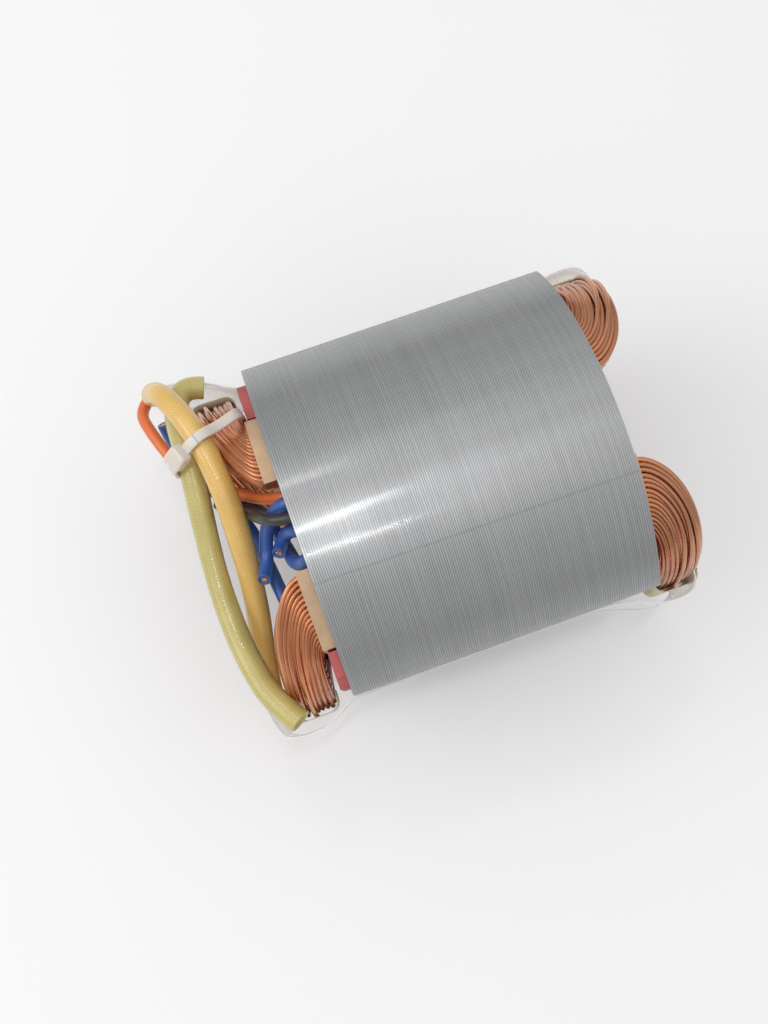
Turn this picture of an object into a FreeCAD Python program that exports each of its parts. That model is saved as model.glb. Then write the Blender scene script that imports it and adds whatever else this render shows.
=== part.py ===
"""Wound two-pole field of a universal motor: a stack of steel laminations with two saddle-shaped field coils.

Frame: origin on the bore's axis at mid-stack, +X along the bore towards the plain end, +Y towards one pole
(the flats are square to Y), +Z up. The block rests on the round side at -Z. All sizes are in millimetres.
"""

import FreeCAD
import Part
import math
import os

V = FreeCAD.Vector

# ---- driving dimensions ----------------------------------------------------------------------------------
# lamination
sheet_thickness = 0.5
sheet_count = 140
bore_radius = 24.5
pole_arc_half = 70.0           # degrees of bore wall each side of a pole's axis
pole_tip_thickness = 3.0
slot_depth = 9.5               # from the pole shoe's back to the yoke
yoke_thickness = 9.0           # round sides, between slot and outside
pole_height = 10.0             # from the pole shoe's back to the flat
pole_back_thickness = 10.7     # from the slot's end wall to the flat
pole_neck_half_width = 13.0
mouth_setback = 0.5            # liner and winding, back from the pole tips
slot_corner_radius = 1.2
interlock_length = 5.0         # shallow stakes that lock the sheets together
interlock_width = 1.6
interlock_depth = 0.35
interlock_angle = 62.0         # degrees from the pole axis

# slot liner
liner_thickness = 0.4
liner_protrusion = 3.0         # past each end face
liner_clearance = 0.1          # liner to slot wall

# field coil
coil_clearance = 0.2           # winding to liner
coil_end_reach = 11.3          # from the liner's lip to the outermost wire of the end turn
coil_end_start = 1.7           # from the liner's lip to the innermost wire of the end turn
coil_end_inner_y = 27.2        # bore side of the end turn, half-way between the slots
coil_end_overhang = 1.2        # how far the end turn stands out past the flat
coil_exit_angle = 30.0         # degrees that the wires lean outwards as they leave the liner
coil_exit_pull = 0.65          # share of the reach over which that lean holds
ridge_count_wide = 8           # ridges of wire across the winding
ridge_count_deep = 4           # ridges of wire through its depth
coil_groove = 0.35             # depth of the grooves between ridges
coil_end_steps = (0.0, 0.14, 0.30, 0.48, 0.70, 1.0)

# pole end insulator
insulator_thickness = 2.2
insulator_gap = 0.1            # to the end face
insulator_edge = 2.0           # set back from the flat
insulator_bore_edge = 1.0      # set back from the bore
insulator_half_height = 24.6
insulator_corner = 2.5         # corners cut off at 45 degrees
insulator_wall_gap = 0.4       # plate to the slot's walls

# cream paper and clear film round the coil ends
paper_thickness = 0.35
paper_clearance = 0.4          # paper to coil
paper_half_height = 9.0
paper_bend = 1.2
paper_inner_leg = 4.5          # between the coil end and the insulator
paper_outer_leg = 7.5          # down the far side of the coil end
film_thickness = 0.3
film_clearance = 0.15          # film to flat
film_half_height = 15.0
film_bow = 1.2                 # air between paper and film
film_bend = 3.0
film_tail = 9.0
film_lift = 9.0                # the film leaves the flat this far before the plain end

# sleeves and leads, outside diameters
sleeve_diameter = 5.2
sleeve_wall = 0.6
sleeve_mouth_depth = 4.0
orange_diameter = 2.8
black_diameter = 2.6
blue_diameter = 3.2
core_diameter = 1.7
core_recess = 0.3              # cut end of the insulation to the end of the copper
core_length = 4.0
core_clearance = 0.05
tube_side_count = 12                # flat sides of a sleeve or lead
bend_step = 14.0               # most degrees of bend from one section to the next

# cable tie: the strap's middle line as (along, up) in its upright plane
strap_width = 2.4
strap_thickness = 1.0
head_size = (5.0, 3.4, 4.6)    # along the strap, across its thickness, along its width
head_edge_chamfer = 0.6
tie_corner_radius = 1.4
tie_origin = (-46.0, 25.9, 22.0)
tie_along = (0.934, 0.355, 0.0)
tie_path = ((8.3, -1.4), (8.3, 5.2), (2.2, 6.8), (-1.4, 10.0), (-4.4, 9.8), (-11.1, 2.8), (-11.1, -3.4),
            (-7.4, -5.4), (-3.6, -4.8))
tie_head_index = 4             # the head sits on the side from this corner to the next

# ---- derived sizes ---------------------------------------------------------------------------------------
stack_length = sheet_thickness * sheet_count
half_length = stack_length / 2.0
shoe_back_radius = bore_radius + pole_tip_thickness
yoke_inner_radius = shoe_back_radius + slot_depth
outer_radius = yoke_inner_radius + yoke_thickness      # the two round sides, 46 mm
half_flats = shoe_back_radius + pole_height            # 75 mm over the two flats
pole_tip_y = shoe_back_radius * math.cos(math.radians(pole_arc_half))
slot_mouth_half_width = pole_tip_y + mouth_setback     # half of the open gap between the two poles' slots
slot_wall_y = half_flats - pole_back_thickness
lip_x = half_length + liner_protrusion
liner_outside = liner_clearance
liner_inside = liner_clearance + liner_thickness
winding_margin = liner_inside + coil_clearance
coil_end_outer_y = half_flats + coil_end_overhang


def polar(radius, degrees, x=0.0):
    """Point at a radius from the bore's axis, its angle counted from +Y towards +Z."""
    a = math.radians(degrees)
    return V(x, radius * math.cos(a), radius * math.sin(a))


def arc(radius, start, end, x=0.0):
    """Arc round the bore's axis, angles in degrees from +Y."""
    return Part.Arc(polar(radius, start, x), polar(radius, (start + end) / 2.0, x), polar(radius, end, x)).toShape()


def line(a, b):
    return Part.makeLine(a, b)


def extrude_x(face, x0, x1):
    face.translate(V(x0, 0, 0))
    return face.extrude(V(x1 - x0, 0, 0))


def mirror_y(shape):
    return shape.mirror(V(0, 0, 0), V(0, 1, 0))


def mirror_z(shape):
    return shape.mirror(V(0, 0, 0), V(0, 0, 1))


def mirror_x(shape):
    return shape.mirror(V(0, 0, 0), V(1, 0, 0))


# ---- lamination stack ------------------------------------------------------------------------------------
def angle_at_y(radius, y):
    return math.degrees(math.acos(y / radius))


def angle_at_z(radius, z):
    return math.degrees(math.asin(z / radius))


def slot_face(margin, mouth_y):
    """Section of the slot above the +Y pole, its walls moved inwards by a margin, cut off at y = mouth_y."""
    ro, ri = yoke_inner_radius - margin, shoe_back_radius + margin
    wall, neck = slot_wall_y - margin, pole_neck_half_width + margin
    a_mouth, a_wall = angle_at_y(ro, mouth_y), angle_at_y(ro, wall)
    b_neck, b_mouth = angle_at_z(ri, neck), angle_at_y(ri, mouth_y)
    corner_out, corner_in = polar(ro, a_wall), V(0, wall, neck)
    return Part.Face(Part.Wire([
        arc(ro, a_mouth, a_wall), line(corner_out, corner_in), line(corner_in, polar(ri, b_neck)),
        arc(ri, b_neck, b_mouth), line(polar(ri, b_mouth), polar(ro, a_mouth))]))


def slot_block(margin, mouth_y, end_x):
    """The same section run along X, its two deep corners rounded."""
    block = extrude_x(slot_face(margin, mouth_y), -end_x, end_x)
    wall = slot_wall_y - margin
    deep = [e for e in block.Edges if all(abs(v.Point.y - wall) < 1e-6 for v in e.Vertexes)
            and abs(e.Vertexes[0].Point.x - e.Vertexes[-1].Point.x) > end_x]
    return block.makeFillet(slot_corner_radius - margin, deep)


def way_between_poles():
    """Section of the open way above the bore, between the two upper slots."""
    top = angle_at_y(yoke_inner_radius, slot_mouth_half_width)
    tip, inner = pole_arc_half, bore_radius - 1.0
    corners = [polar(inner, tip), polar(shoe_back_radius, tip), polar(yoke_inner_radius, top)]
    mirrored = [V(0, -p.y, p.z) for p in corners]
    return Part.Face(Part.Wire([
        line(corners[0], corners[1]), line(corners[1], corners[2]), arc(yoke_inner_radius, top, 180.0 - top),
        line(mirrored[2], mirrored[1]), line(mirrored[1], mirrored[0]), arc(inner, 180.0 - tip, tip)]))


def lamination_stack():
    corner = angle_at_y(outer_radius, half_flats)
    blank = Part.Face(Part.Wire([
        arc(outer_radius, corner, 180.0 - corner), line(polar(outer_radius, 180.0 - corner),
                                                       polar(outer_radius, 180.0 + corner)),
        arc(outer_radius, 180.0 + corner, 360.0 - corner),
        line(polar(outer_radius, -corner), polar(outer_radius, corner))]))
    stack = extrude_x(blank, -half_length, half_length)
    past = half_length + 1.0
    bore = Part.Face(Part.Wire(Part.makeCircle(bore_radius, V(0, 0, 0), V(1, 0, 0))))
    slot = slot_block(0.0, pole_tip_y, past)
    way = extrude_x(way_between_poles(), -past, past)
    for cut in (extrude_x(bore, -past, past), slot, mirror_y(slot), mirror_z(slot), mirror_z(mirror_y(slot)),
                way, mirror_z(way)):
        stack = stack.cut(cut)
    stake_radius = outer_radius - yoke_thickness / 2.0
    for degrees in (interlock_angle, 180.0 - interlock_angle, 180.0 + interlock_angle, -interlock_angle):
        stake = Part.makeBox(interlock_depth + 1.0, interlock_width, interlock_length,
                             V(-half_length - 1.0, stake_radius - interlock_width / 2.0, -interlock_length / 2.0))
        stake.rotate(V(0, 0, 0), V(1, 0, 0), degrees)
        stack = stack.cut(stake)
        boss = Part.makeBox(interlock_depth + 1.0, interlock_width, interlock_length,
                            V(half_length - 1.0, stake_radius - interlock_width / 2.0, -interlock_length / 2.0))
        boss.rotate(V(0, 0, 0), V(1, 0, 0), degrees)
        stack = stack.fuse(boss)
    return stack.removeSplitter()


# ---- slot liner ------------------------------------------------------------------------------------------
def slot_liner():
    """Folded paper along the yoke, the end wall and the pole shoe of one slot, open at the slot's mouth."""
    paper = slot_block(liner_outside, slot_mouth_half_width, lip_x)
    return paper.cut(slot_block(liner_inside, slot_mouth_half_width - 4.0 * liner_thickness, lip_x + 1.0))


# ---- field coil ------------------------------------------------------------------------------------------
def wire_in_slot(u, w):
    """Place of a wire in the slot: u runs from the slot's mouth to its end wall, w from the yoke to the shoe."""
    ro, ri = yoke_inner_radius - winding_margin, shoe_back_radius + winding_margin
    mouth, wall = slot_mouth_half_width + coil_clearance, slot_wall_y - winding_margin
    neck = pole_neck_half_width + winding_margin
    a0, a1 = angle_at_y(ro, mouth), angle_at_y(ro, wall)
    b0, b1 = angle_at_y(ri, mouth), angle_at_z(ri, neck)
    outer, inner = polar(ro, a0 + (a1 - a0) * u), polar(ri, b0 + (b1 - b0) * u)
    return outer + (inner - outer) * w


def wire_at(u, w, t):
    """Place of a wire on the end turn, t = 0 at the liner's lip and t = 1 half-way down to the other slot.

    The path is a cubic curve: it leaves along -X, leaning outwards by the exit angle, and arrives straight down.
    """
    slot = wire_in_slot(u, w)
    start = V(-lip_x, slot.y, slot.z)
    reach = coil_end_reach + (coil_end_start - coil_end_reach) * u
    end = V(-lip_x - reach, coil_end_outer_y + (coil_end_inner_y - coil_end_outer_y) * w, 0.0)
    lean = math.radians(coil_exit_angle)
    c1 = start + V(-math.cos(lean), math.sin(lean), 0.0) * (coil_exit_pull * reach)
    c2 = end + V(0, 0, 0.55 * slot.z)
    s = 1.0 - t
    return start * s ** 3 + c1 * (3 * s * s * t) + c2 * (3 * s * t * t) + end * t ** 3


def ridge_outline():
    """Closed list of (u, w) round the winding's section, zigzag between wire crowns and the grooves between."""
    wide, deep = 2 * ridge_count_wide, 2 * ridge_count_deep
    du = coil_groove / (yoke_inner_radius * math.radians(29.0))
    dw = coil_groove / (yoke_inner_radius - shoe_back_radius - 2 * winding_margin)
    sides = []
    sides += [(k / wide, 0.0 if k % 2 else dw) for k in range(1, wide)]
    sides += [(1.0 if k % 2 else 1.0 - du, k / deep) for k in range(1, deep)]
    sides += [(1.0 - k / wide, 1.0 if k % 2 else 1.0 - dw) for k in range(1, wide)]
    sides += [(0.0 if k % 2 else du, 1.0 - k / deep) for k in range(1, deep)]
    return sides


def ring_facets(rings):
    """Flat triangles between each closed ring of points and the next."""
    facets = []
    for a, b in zip(rings, rings[1:]):
        for i in range(len(a)):
            j = (i + 1) % len(a)
            for corners in ((a[i], a[j], b[j]), (a[i], b[j], b[i])):
                facets.append(Part.Face(Part.makePolygon(corners + corners[:1])))
    return facets


def field_coil():
    """One winding round the +Y pole: a closed ring of flat facets through both slots and both end turns."""
    outline = ridge_outline()
    ring = []
    for end, up, steps in ((1, 1, coil_end_steps), (1, -1, coil_end_steps[-2::-1]),
                           (-1, -1, coil_end_steps), (-1, 1, coil_end_steps[-2::-1])):
        for t in steps:
            ring.append([V(-p.x * end, p.y, p.z * up) for p in (wire_at(u, w, t) for u, w in outline)])
    return Part.makeSolid(Part.makeShell(ring_facets(ring + ring[:1])))


# ---- pole end insulator ----------------------------------------------------------------------------------
def end_insulator():
    """Fibre plate on the lead end of the +Y pole, with a tongue between the slots down to the bore's edge."""
    edge = bore_radius + insulator_bore_edge
    tongue = pole_neck_half_width - insulator_wall_gap
    shoulder, top = slot_wall_y + insulator_wall_gap, insulator_half_height
    back, cut = half_flats - insulator_edge, insulator_corner
    a = angle_at_z(edge, tongue)
    corners = [polar(edge, a), V(0, shoulder, tongue), V(0, shoulder, top), V(0, back - cut, top),
               V(0, back, top - cut), V(0, back, cut - top), V(0, back - cut, -top), V(0, shoulder, -top),
               V(0, shoulder, -tongue), polar(edge, -a)]
    sides = [line(p, q) for p, q in zip(corners, corners[1:])]
    plate = Part.Face(Part.Wire(sides + [arc(edge, -a, a)]))
    x0 = -half_length - insulator_gap
    return extrude_x(plate, x0 - insulator_thickness, x0)


# ---- sheets bent round the coil ends ---------------------------------------------------------------------
def rounded_path(points, radii):
    """Straight runs through the points, joined by tangent arcs of the given radii (0 keeps a corner sharp)."""
    edges, last = [], points[0]
    for i in range(1, len(points) - 1):
        p, before, after = points[i], points[i] - points[i - 1], points[i + 1] - points[i]
        turn = before.getAngle(after)
        if radii[i] <= 0.0 or turn < 1e-4:
            edges.append(line(last, p))
            last = p
            continue
        into, out = V(before).normalize(), V(after).normalize()
        reach = radii[i] * math.tan(turn / 2.0)
        a, b = p - into * reach, p + out * reach
        centre = p + (out - into).normalize() * (radii[i] / math.cos(turn / 2.0))
        middle = centre + (p - centre).normalize() * radii[i]
        edges += [line(last, a), Part.Arc(a, middle, b).toShape()]
        last = b
    edges.append(line(last, points[-1]))
    return Part.Wire(edges)


def offset_side(points, radii, distance):
    """The same bent path moved sideways, to its left for a positive distance, its bends kept concentric."""
    normals = []
    for a, b in zip(points, points[1:]):
        run = (b - a).normalize()
        normals.append(V(-run.y, run.x, 0))
    moved, bends = [points[0] + normals[0] * distance], [0.0]
    for i in range(1, len(points) - 1):
        n0, n1 = normals[i - 1], normals[i]
        moved.append(points[i] + (n0 + n1) * (distance / (1.0 + n0.dot(n1))))
        left_turn = 1.0 if n0.x * n1.y - n0.y * n1.x > 0 else -1.0
        bends.append(radii[i] - distance * left_turn if radii[i] > 0.0 else 0.0)
    return rounded_path(moved + [points[-1] + normals[-1] * distance], bends + [0.0])


def bent_strip(path, thickness, half_height):
    """Strip standing along Z; the path holds (x, y, bend radius) along the middle of its thickness."""
    points, radii = [V(x, y, -half_height) for x, y, _ in path], [r for _, _, r in path]
    left, right = (offset_side(points, radii, side * thickness / 2.0) for side in (1.0, -1.0))
    ends = [line(left.Vertexes[-1].Point, right.Vertexes[-1].Point),
            line(right.Vertexes[0].Point, left.Vertexes[0].Point)]
    outline = Part.Wire(left.Edges + ends[:1] + right.Edges[::-1] + ends[1:])
    return Part.Face(outline).extrude(V(0, 0, 2.0 * half_height))


def coil_end_paper():
    """Cream strip down the gap beside the insulator, over the coil end and down its far side."""
    off = paper_clearance + paper_thickness / 2.0
    near, far = -lip_x - coil_end_start + off, -lip_x - coil_end_reach - off
    outer = coil_end_outer_y + off
    path = [(near, outer - paper_inner_leg, 0), (near, outer, paper_bend), (far, outer, paper_bend),
            (far, outer - paper_outer_leg, 0)]
    return bent_strip(path, paper_thickness, paper_half_height)


def film_wrap(lead_end):
    """Clear film over the +Y flat, round the plain coil end at one end and a curl of its own at the other."""
    on_flat = half_flats + film_clearance + film_thickness / 2.0
    off = paper_clearance + paper_thickness + film_bow
    outer, far = coil_end_outer_y + off, lip_x + coil_end_reach + off
    path = [(far, outer - film_tail, 0), (far, outer, film_bend), (lip_x, outer, film_bend),
            (half_length - film_lift, on_flat, film_bend), (-half_length + 1.0, on_flat, film_bend)]
    return bent_strip(path + lead_end, film_thickness, film_half_height)


# ---- sleeves and leads -----------------------------------------------------------------------------------
def route_wire(name, points):
    """The route of a lead: straight runs between the points, each bend as wide as its shorter run allows."""
    pts = [V(*p) for p in points]
    radii = [0.0] * len(pts)
    for i in range(1, len(pts) - 1):
        before, after = pts[i] - pts[i - 1], pts[i + 1] - pts[i]
        radii[i] = 0.45 * min(before.Length, after.Length) / math.tan(before.getAngle(after) / 2.0)
    print(name, "bend radii", [round(r, 1) for r in radii[1:-1]])
    return rounded_path(pts, radii)


def end_plug(points, diameter, depth):
    """Cylinder going back from a route's last point, square to its cut end."""
    tip, before = V(*points[-1]), V(*points[-2])
    return Part.makeCylinder(diameter / 2.0, depth, tip, (before - tip).normalize())


def ring_places(wire):
    """Point and direction at each section of a lead: both ends of every run, and steps of bend_step in a bend."""
    places = []
    for edge in wire.Edges:
        steps = 1
        if edge.Curve.TypeId == "Part::GeomCircle":
            steps = max(1, math.ceil(math.degrees(edge.Length / edge.Curve.Radius) / bend_step))
        for k in range(steps):
            at = edge.FirstParameter + (edge.LastParameter - edge.FirstParameter) * k / steps
            places.append((edge.valueAt(at), edge.tangentAt(at)))
    last = wire.Edges[-1]
    return places + [(last.valueAt(last.LastParameter), last.tangentAt(last.LastParameter))]


def lead(name, points, diameter):
    """Solid of tube_side_count flat sides along a route, its section as large as the round one."""
    wire = route_wire(name, points)
    half_side = math.pi / tube_side_count
    corner_radius = diameter / 2.0 * math.sqrt(half_side / (math.sin(half_side) * math.cos(half_side)))
    places = ring_places(wire)
    across = places[0][1].cross(V(0, 0, 1))
    rings = []
    for point, ahead in places:
        across = (across - ahead * across.dot(ahead)).normalize()
        up = ahead.cross(across)
        turns = [2.0 * half_side * k for k in range(tube_side_count)]
        rings.append([point + (across * math.cos(a) + up * math.sin(a)) * corner_radius for a in turns])
    tube = Part.makeSolid(Part.makeShell(ring_facets(rings) + [
        Part.Face(Part.makePolygon(rings[0] + rings[0][:1])),
        Part.Face(Part.makePolygon(rings[-1][::-1] + rings[-1][-1:]))]))
    section_area = math.pi * diameter ** 2 / 4.0
    print(name, "length", round(wire.Length, 1), "volume / (section x length)",
          round(abs(tube.Volume) / (section_area * wire.Length), 4))
    return tube


def sleeve(name, points):
    """Woven sleeve, hollow at both mouths; the wires inside fill the rest."""
    tube = lead(name, points, sleeve_diameter)
    inside = sleeve_diameter - 2.0 * sleeve_wall
    for route in (points, points[::-1]):
        tube = tube.cut(end_plug(route, inside, sleeve_mouth_depth))
    return tube


def cut_lead(name, points):
    """Blue lead whose last end is drilled for the conductor that shows in it."""
    socket = end_plug(points, core_diameter + 2.0 * core_clearance, core_recess + core_length)
    return lead(name, points, blue_diameter).cut(socket)


def core(points):
    bar = end_plug(points, core_diameter, core_recess + core_length)
    return bar.cut(end_plug(points, 2.0 * core_diameter, core_recess))


green_route = [(-44.6, 40.8, 13.2), (-47.7, 41.9, 13.8), (-50.7, 40.4, 14.6), (-52.3, 36.6, 16.2),
               (-52.7, 31.0, 19.0), (-52.4, 24.5, 21.2), (-53.4, 15.5, 19.0), (-54.9, 5.0, 15.0),
               (-55.7, -6.0, 12.8), (-55.4, -16.5, 12.2), (-54.2, -25.0, 13.0), (-52.2, -32.5, 14.0),
               (-48.0, -39.0, 15.2)]
orange_sleeve_route = [(-56.0, 42.6, 14.6), (-54.5, 41.0, 21.4), (-51.4, 35.0, 26.4), (-48.2, 25.4, 28.6),
                       (-47.0, 14.6, 26.5), (-47.2, 4.4, 21.0), (-48.5, -6.4, 12.6), (-50.2, -15.0, 7.0),
                       (-52.4, -23.5, 3.5), (-53.2, -31.5, 2.2)]
orange_route = [(-55.25, 41.75, 18.2), (-56.2, 42.9, 12.8), (-57.0, 44.2, 8.6), (-59.2, 43.8, 6.4),
                (-60.8, 40.6, 8.4),
                (-59.9, 36.4, 10.4), (-57.6, 28.8, 10.8), (-53.6, 21.4, 12.2), (-48.4, 16.2, 15.0),
                (-43.9, 12.9, 18.0), (-38.6, 8.9, 22.2), (-34.6, 7.5, 27.6), (-27.0, 7.1, 28.6)]
black_outer_route = [(-55.2, 22.2, 6.2), (-50.2, 17.2, 8.4), (-44.6, 12.2, 11.2), (-40.6, 8.0, 14.9),
                     (-38.0, 4.0, 21.6), (-34.7, 3.2, 28.6), (-26.0, 3.2, 29.2)]
black_inner_route = [(-50.3, 13.6, 14.6), (-44.2, 9.1, 17.6), (-41.8, 4.6, 28.9), (-37.4, 1.6, 33.3),
                     (-29.0, 1.0, 34.2)]
blue_routes = {
    "blue_lead_1": [(-27.0, 6.0, 32.8), (-34.0, 5.4, 32.3), (-38.4, 5.1, 28.0), (-41.7, 2.7, 20.9),
                    (-43.4, -2.2, 17.9), (-45.5, -7.4, 17.4)],
    "blue_lead_2": [(-27.0, -0.6, 29.6), (-33.4, -0.6, 28.6), (-36.8, 0.4, 25.3), (-38.3, 0.4, 19.8),
                    (-40.3, -3.2, 21.2)],
    "blue_lead_3": [(-41.1, -24.95, 10.6), (-42.8, -12.6, 10.6), (-43.8, -3.6, 9.0), (-45.0, 7.0, 6.6),
                    (-49.8, 17.6, 3.2), (-54.2, 27.6, 3.4), (-56.2, 33.4, 4.8), (-56.6, 37.4, 7.4)],
    "blue_lead_4": [(-27.0, -7.0, 30.6), (-33.8, -7.2, 29.6), (-37.6, -7.2, 23.2), (-38.4, -1.0, 14.0),
                    (-41.0, 7.4, 9.6), (-44.6, 15.6, 7.0)],
}
cut_ends = ("blue_lead_1", "blue_lead_2", "blue_lead_3")   # these show their conductor

# the film's free curls past the lead end of each flat, as (x, y, bend radius)
film_curl_lower = [(-38.4, 39.9, 3.0), (-49.6, 42.6, 3.0), (-55.0, 40.6, 3.0), (-56.2, 33.6, 0)]
film_curl_upper = [(-39.0, 40.6, 3.0), (-46.0, 44.8, 4.0), (-53.4, 46.4, 3.0), (-57.6, 47.2, 0)]


# ---- cable tie -------------------------------------------------------------------------------------------
def cable_tie():
    """Strap in an upright plane round the two sleeves, its head on one side and its ends in the winding."""
    bends = [0.0] + [tie_corner_radius] * (len(tie_path) - 2) + [0.0]
    strap = bent_strip([(x, y, r) for (x, y), r in zip(tie_path, bends)], strap_thickness, strap_width / 2.0)
    before, after = (V(x, y, 0) for x, y in tie_path[tie_head_index:tie_head_index + 2])
    run = after - before
    length, depth, width = head_size
    head = Part.makeBox(length, depth, width, V(-length / 2.0, -strap_thickness / 2.0, -width / 2.0))
    head = head.makeChamfer(head_edge_chamfer, head.Edges)
    head.rotate(V(0, 0, 0), V(0, 0, 1), math.degrees(math.atan2(run.y, run.x)) + 180.0)
    head.translate((before + after) * 0.5)
    tie = strap.fuse(head).removeSplitter()
    along, up = V(*tie_along).normalize(), V(0, 0, 1)
    normal = along.cross(up)
    tie.Placement = FreeCAD.Placement(FreeCAD.Matrix(
        along.x, up.x, normal.x, tie_origin[0], along.y, up.y, normal.y, tie_origin[1],
        along.z, up.z, normal.z, tie_origin[2], 0, 0, 0, 1))
    return tie


# ---- all pieces ------------------------------------------------------------------------------------------
def build():
    """Every piece by name: upper is the +Y pole, lower -Y, top +Z, base -Z, lead -X and plain +X."""
    parts = {"lamination_stack": lamination_stack()}
    coil, liner, plate, paper = field_coil(), slot_liner(), end_insulator(), coil_end_paper()
    for side, turn in (("upper", lambda shape: shape), ("lower", mirror_y)):
        parts["field_coil_" + side] = turn(coil)
        parts["slot_liner_%s_top" % side] = turn(liner)
        parts["slot_liner_%s_base" % side] = mirror_z(turn(liner))
        parts["end_insulator_%s_lead" % side] = turn(plate)
        parts["end_insulator_%s_plain" % side] = mirror_x(turn(plate))
        parts["coil_paper_%s_lead" % side] = turn(paper)
        parts["coil_paper_%s_plain" % side] = mirror_x(turn(paper))
    parts["film_wrap_upper"] = film_wrap(film_curl_upper)
    parts["film_wrap_lower"] = mirror_y(film_wrap(film_curl_lower))
    parts["sleeve_green"] = sleeve("sleeve_green", green_route)
    parts["sleeve_orange"] = sleeve("sleeve_orange", orange_sleeve_route)
    parts["orange_lead"] = lead("orange_lead", orange_route, orange_diameter)
    parts["black_lead_outer"] = lead("black_lead_outer", black_outer_route, black_diameter)
    parts["black_lead_inner"] = lead("black_lead_inner", black_inner_route, black_diameter)
    for name, points in blue_routes.items():
        if name in cut_ends:
            parts[name] = cut_lead(name, points)
        else:
            parts[name] = lead(name, points, blue_diameter)
    parts["lead_conductors"] = Part.makeCompound([core(blue_routes[name]) for name in cut_ends])
    parts["cable_tie"] = cable_tie()
    return parts


if __name__ == "__main__":
    os.makedirs("parts", exist_ok=True)
    for part_name, part_shape in build().items():
        part_shape.exportStep("parts/%s.step" % part_name)
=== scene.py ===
"""Dressed model of a wound two-pole motor field: a laminated steel stack, two coils and their leads.

Lengths are in metres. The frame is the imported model's: +X along the rotor's bore towards the plain end,
+Y towards the upper pole, +Z up. The stack lies on the round side at -Z.
"""

import math

import bpy
import numpy as np
from bpy.props import FloatProperty, FloatVectorProperty, IntProperty, PointerProperty
from mathutils import Matrix, Vector


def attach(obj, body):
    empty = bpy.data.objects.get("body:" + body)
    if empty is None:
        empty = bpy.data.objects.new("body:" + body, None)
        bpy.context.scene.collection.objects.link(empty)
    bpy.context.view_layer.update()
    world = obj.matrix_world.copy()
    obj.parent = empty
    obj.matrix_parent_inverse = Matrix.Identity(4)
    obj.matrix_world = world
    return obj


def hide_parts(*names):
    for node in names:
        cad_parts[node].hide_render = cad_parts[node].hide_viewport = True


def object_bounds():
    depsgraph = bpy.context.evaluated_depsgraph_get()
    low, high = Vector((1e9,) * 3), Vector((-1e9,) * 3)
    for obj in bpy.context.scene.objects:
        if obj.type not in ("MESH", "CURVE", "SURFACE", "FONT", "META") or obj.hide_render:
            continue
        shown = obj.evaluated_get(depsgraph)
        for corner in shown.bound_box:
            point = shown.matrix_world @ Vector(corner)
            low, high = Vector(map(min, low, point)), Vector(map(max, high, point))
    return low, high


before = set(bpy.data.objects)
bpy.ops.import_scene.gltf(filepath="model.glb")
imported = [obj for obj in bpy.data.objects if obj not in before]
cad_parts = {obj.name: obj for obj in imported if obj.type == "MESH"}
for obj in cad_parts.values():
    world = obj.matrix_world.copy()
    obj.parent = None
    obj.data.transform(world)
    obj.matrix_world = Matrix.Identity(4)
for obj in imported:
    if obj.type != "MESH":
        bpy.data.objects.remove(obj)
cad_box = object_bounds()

bl_info = {
    "name": "Wound motor field",
    "version": (1, 0, 0),
    "blender": (4, 5, 0),
    "location": "View3D > Sidebar > Motor field",
    "description": "Laminations, windings, sleeves and leads of a two-pole motor field",
    "category": "Add Mesh",
}

MM = 0.001


# ---- settings --------------------------------------------------------------------------------------------
def length(label, about, value):
    return FloatProperty(name=label, description=about, default=value * MM, unit="LENGTH", precision=5)


def colour(label, about, value):
    return FloatVectorProperty(name=label, description=about, default=value, size=3, subtype="COLOR",
                               min=0.0, max=1.0)


def share(label, about, value):
    return FloatProperty(name=label, description=about, default=value)


class StackSettings(bpy.types.PropertyGroup):
    sheet_pitch: length("Sheet pitch", "Thickness of one lamination", 0.5)
    sheet_count: IntProperty(name="Sheets", description="Laminations in the stack", default=140)
    outer_radius: length("Outer radius", "Radius of the round sides", 46.0)
    flat_distance: length("Flat distance", "From the bore's axis to each flat", 37.5)
    bore_radius: length("Bore radius", "Radius of the pole faces", 24.5)
    tip_thickness: length("Pole tip", "Thickness of the pole tips", 3.0)
    pole_arc: FloatProperty(name="Pole arc", description="Half the angle of a pole face",
                            default=math.radians(70.0), subtype="ANGLE")
    yoke_inner: length("Yoke inside", "Inner radius of the yoke", 37.0)
    slot_wall: length("Slot wall", "From the bore's axis to the slot's end wall", 26.8)
    neck_half: length("Neck", "Half the width of the pole's neck", 13.0)
    slot_corner: length("Slot corner", "Corner radius of the slot", 1.2)
    crown: length("Crown", "How far a sheet's edge stands over the notch beside it", 0.05)
    scatter: length("Scatter", "How far single sheets stand out of line", 0.018)
    steel: colour("Steel", "Cut edge of the sheets", (0.37, 0.375, 0.38))


class WindingSettings(bpy.types.PropertyGroup):
    wire: length("Wire", "Diameter over the enamel", 1.12)
    columns: IntProperty(name="Columns", description="Wires across the slot", default=16)
    layers: IntProperty(name="Layers", description="Wires through the slot's depth", default=7)
    stray: length("Stray", "How far a wire wanders from its place", 0.14)
    full_upper: share("Upper bulge", "Bulge of the upper coil at the lead end", 0.0)
    full_lower: share("Lower bulge", "Bulge of the lower coil at the lead end", 0.7)
    copper: colour("Enamelled copper", "Wire in the light", (0.74, 0.285, 0.12))
    shade: colour("Dark enamel", "Wire that is darker baked", (0.36, 0.12, 0.05))


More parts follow.
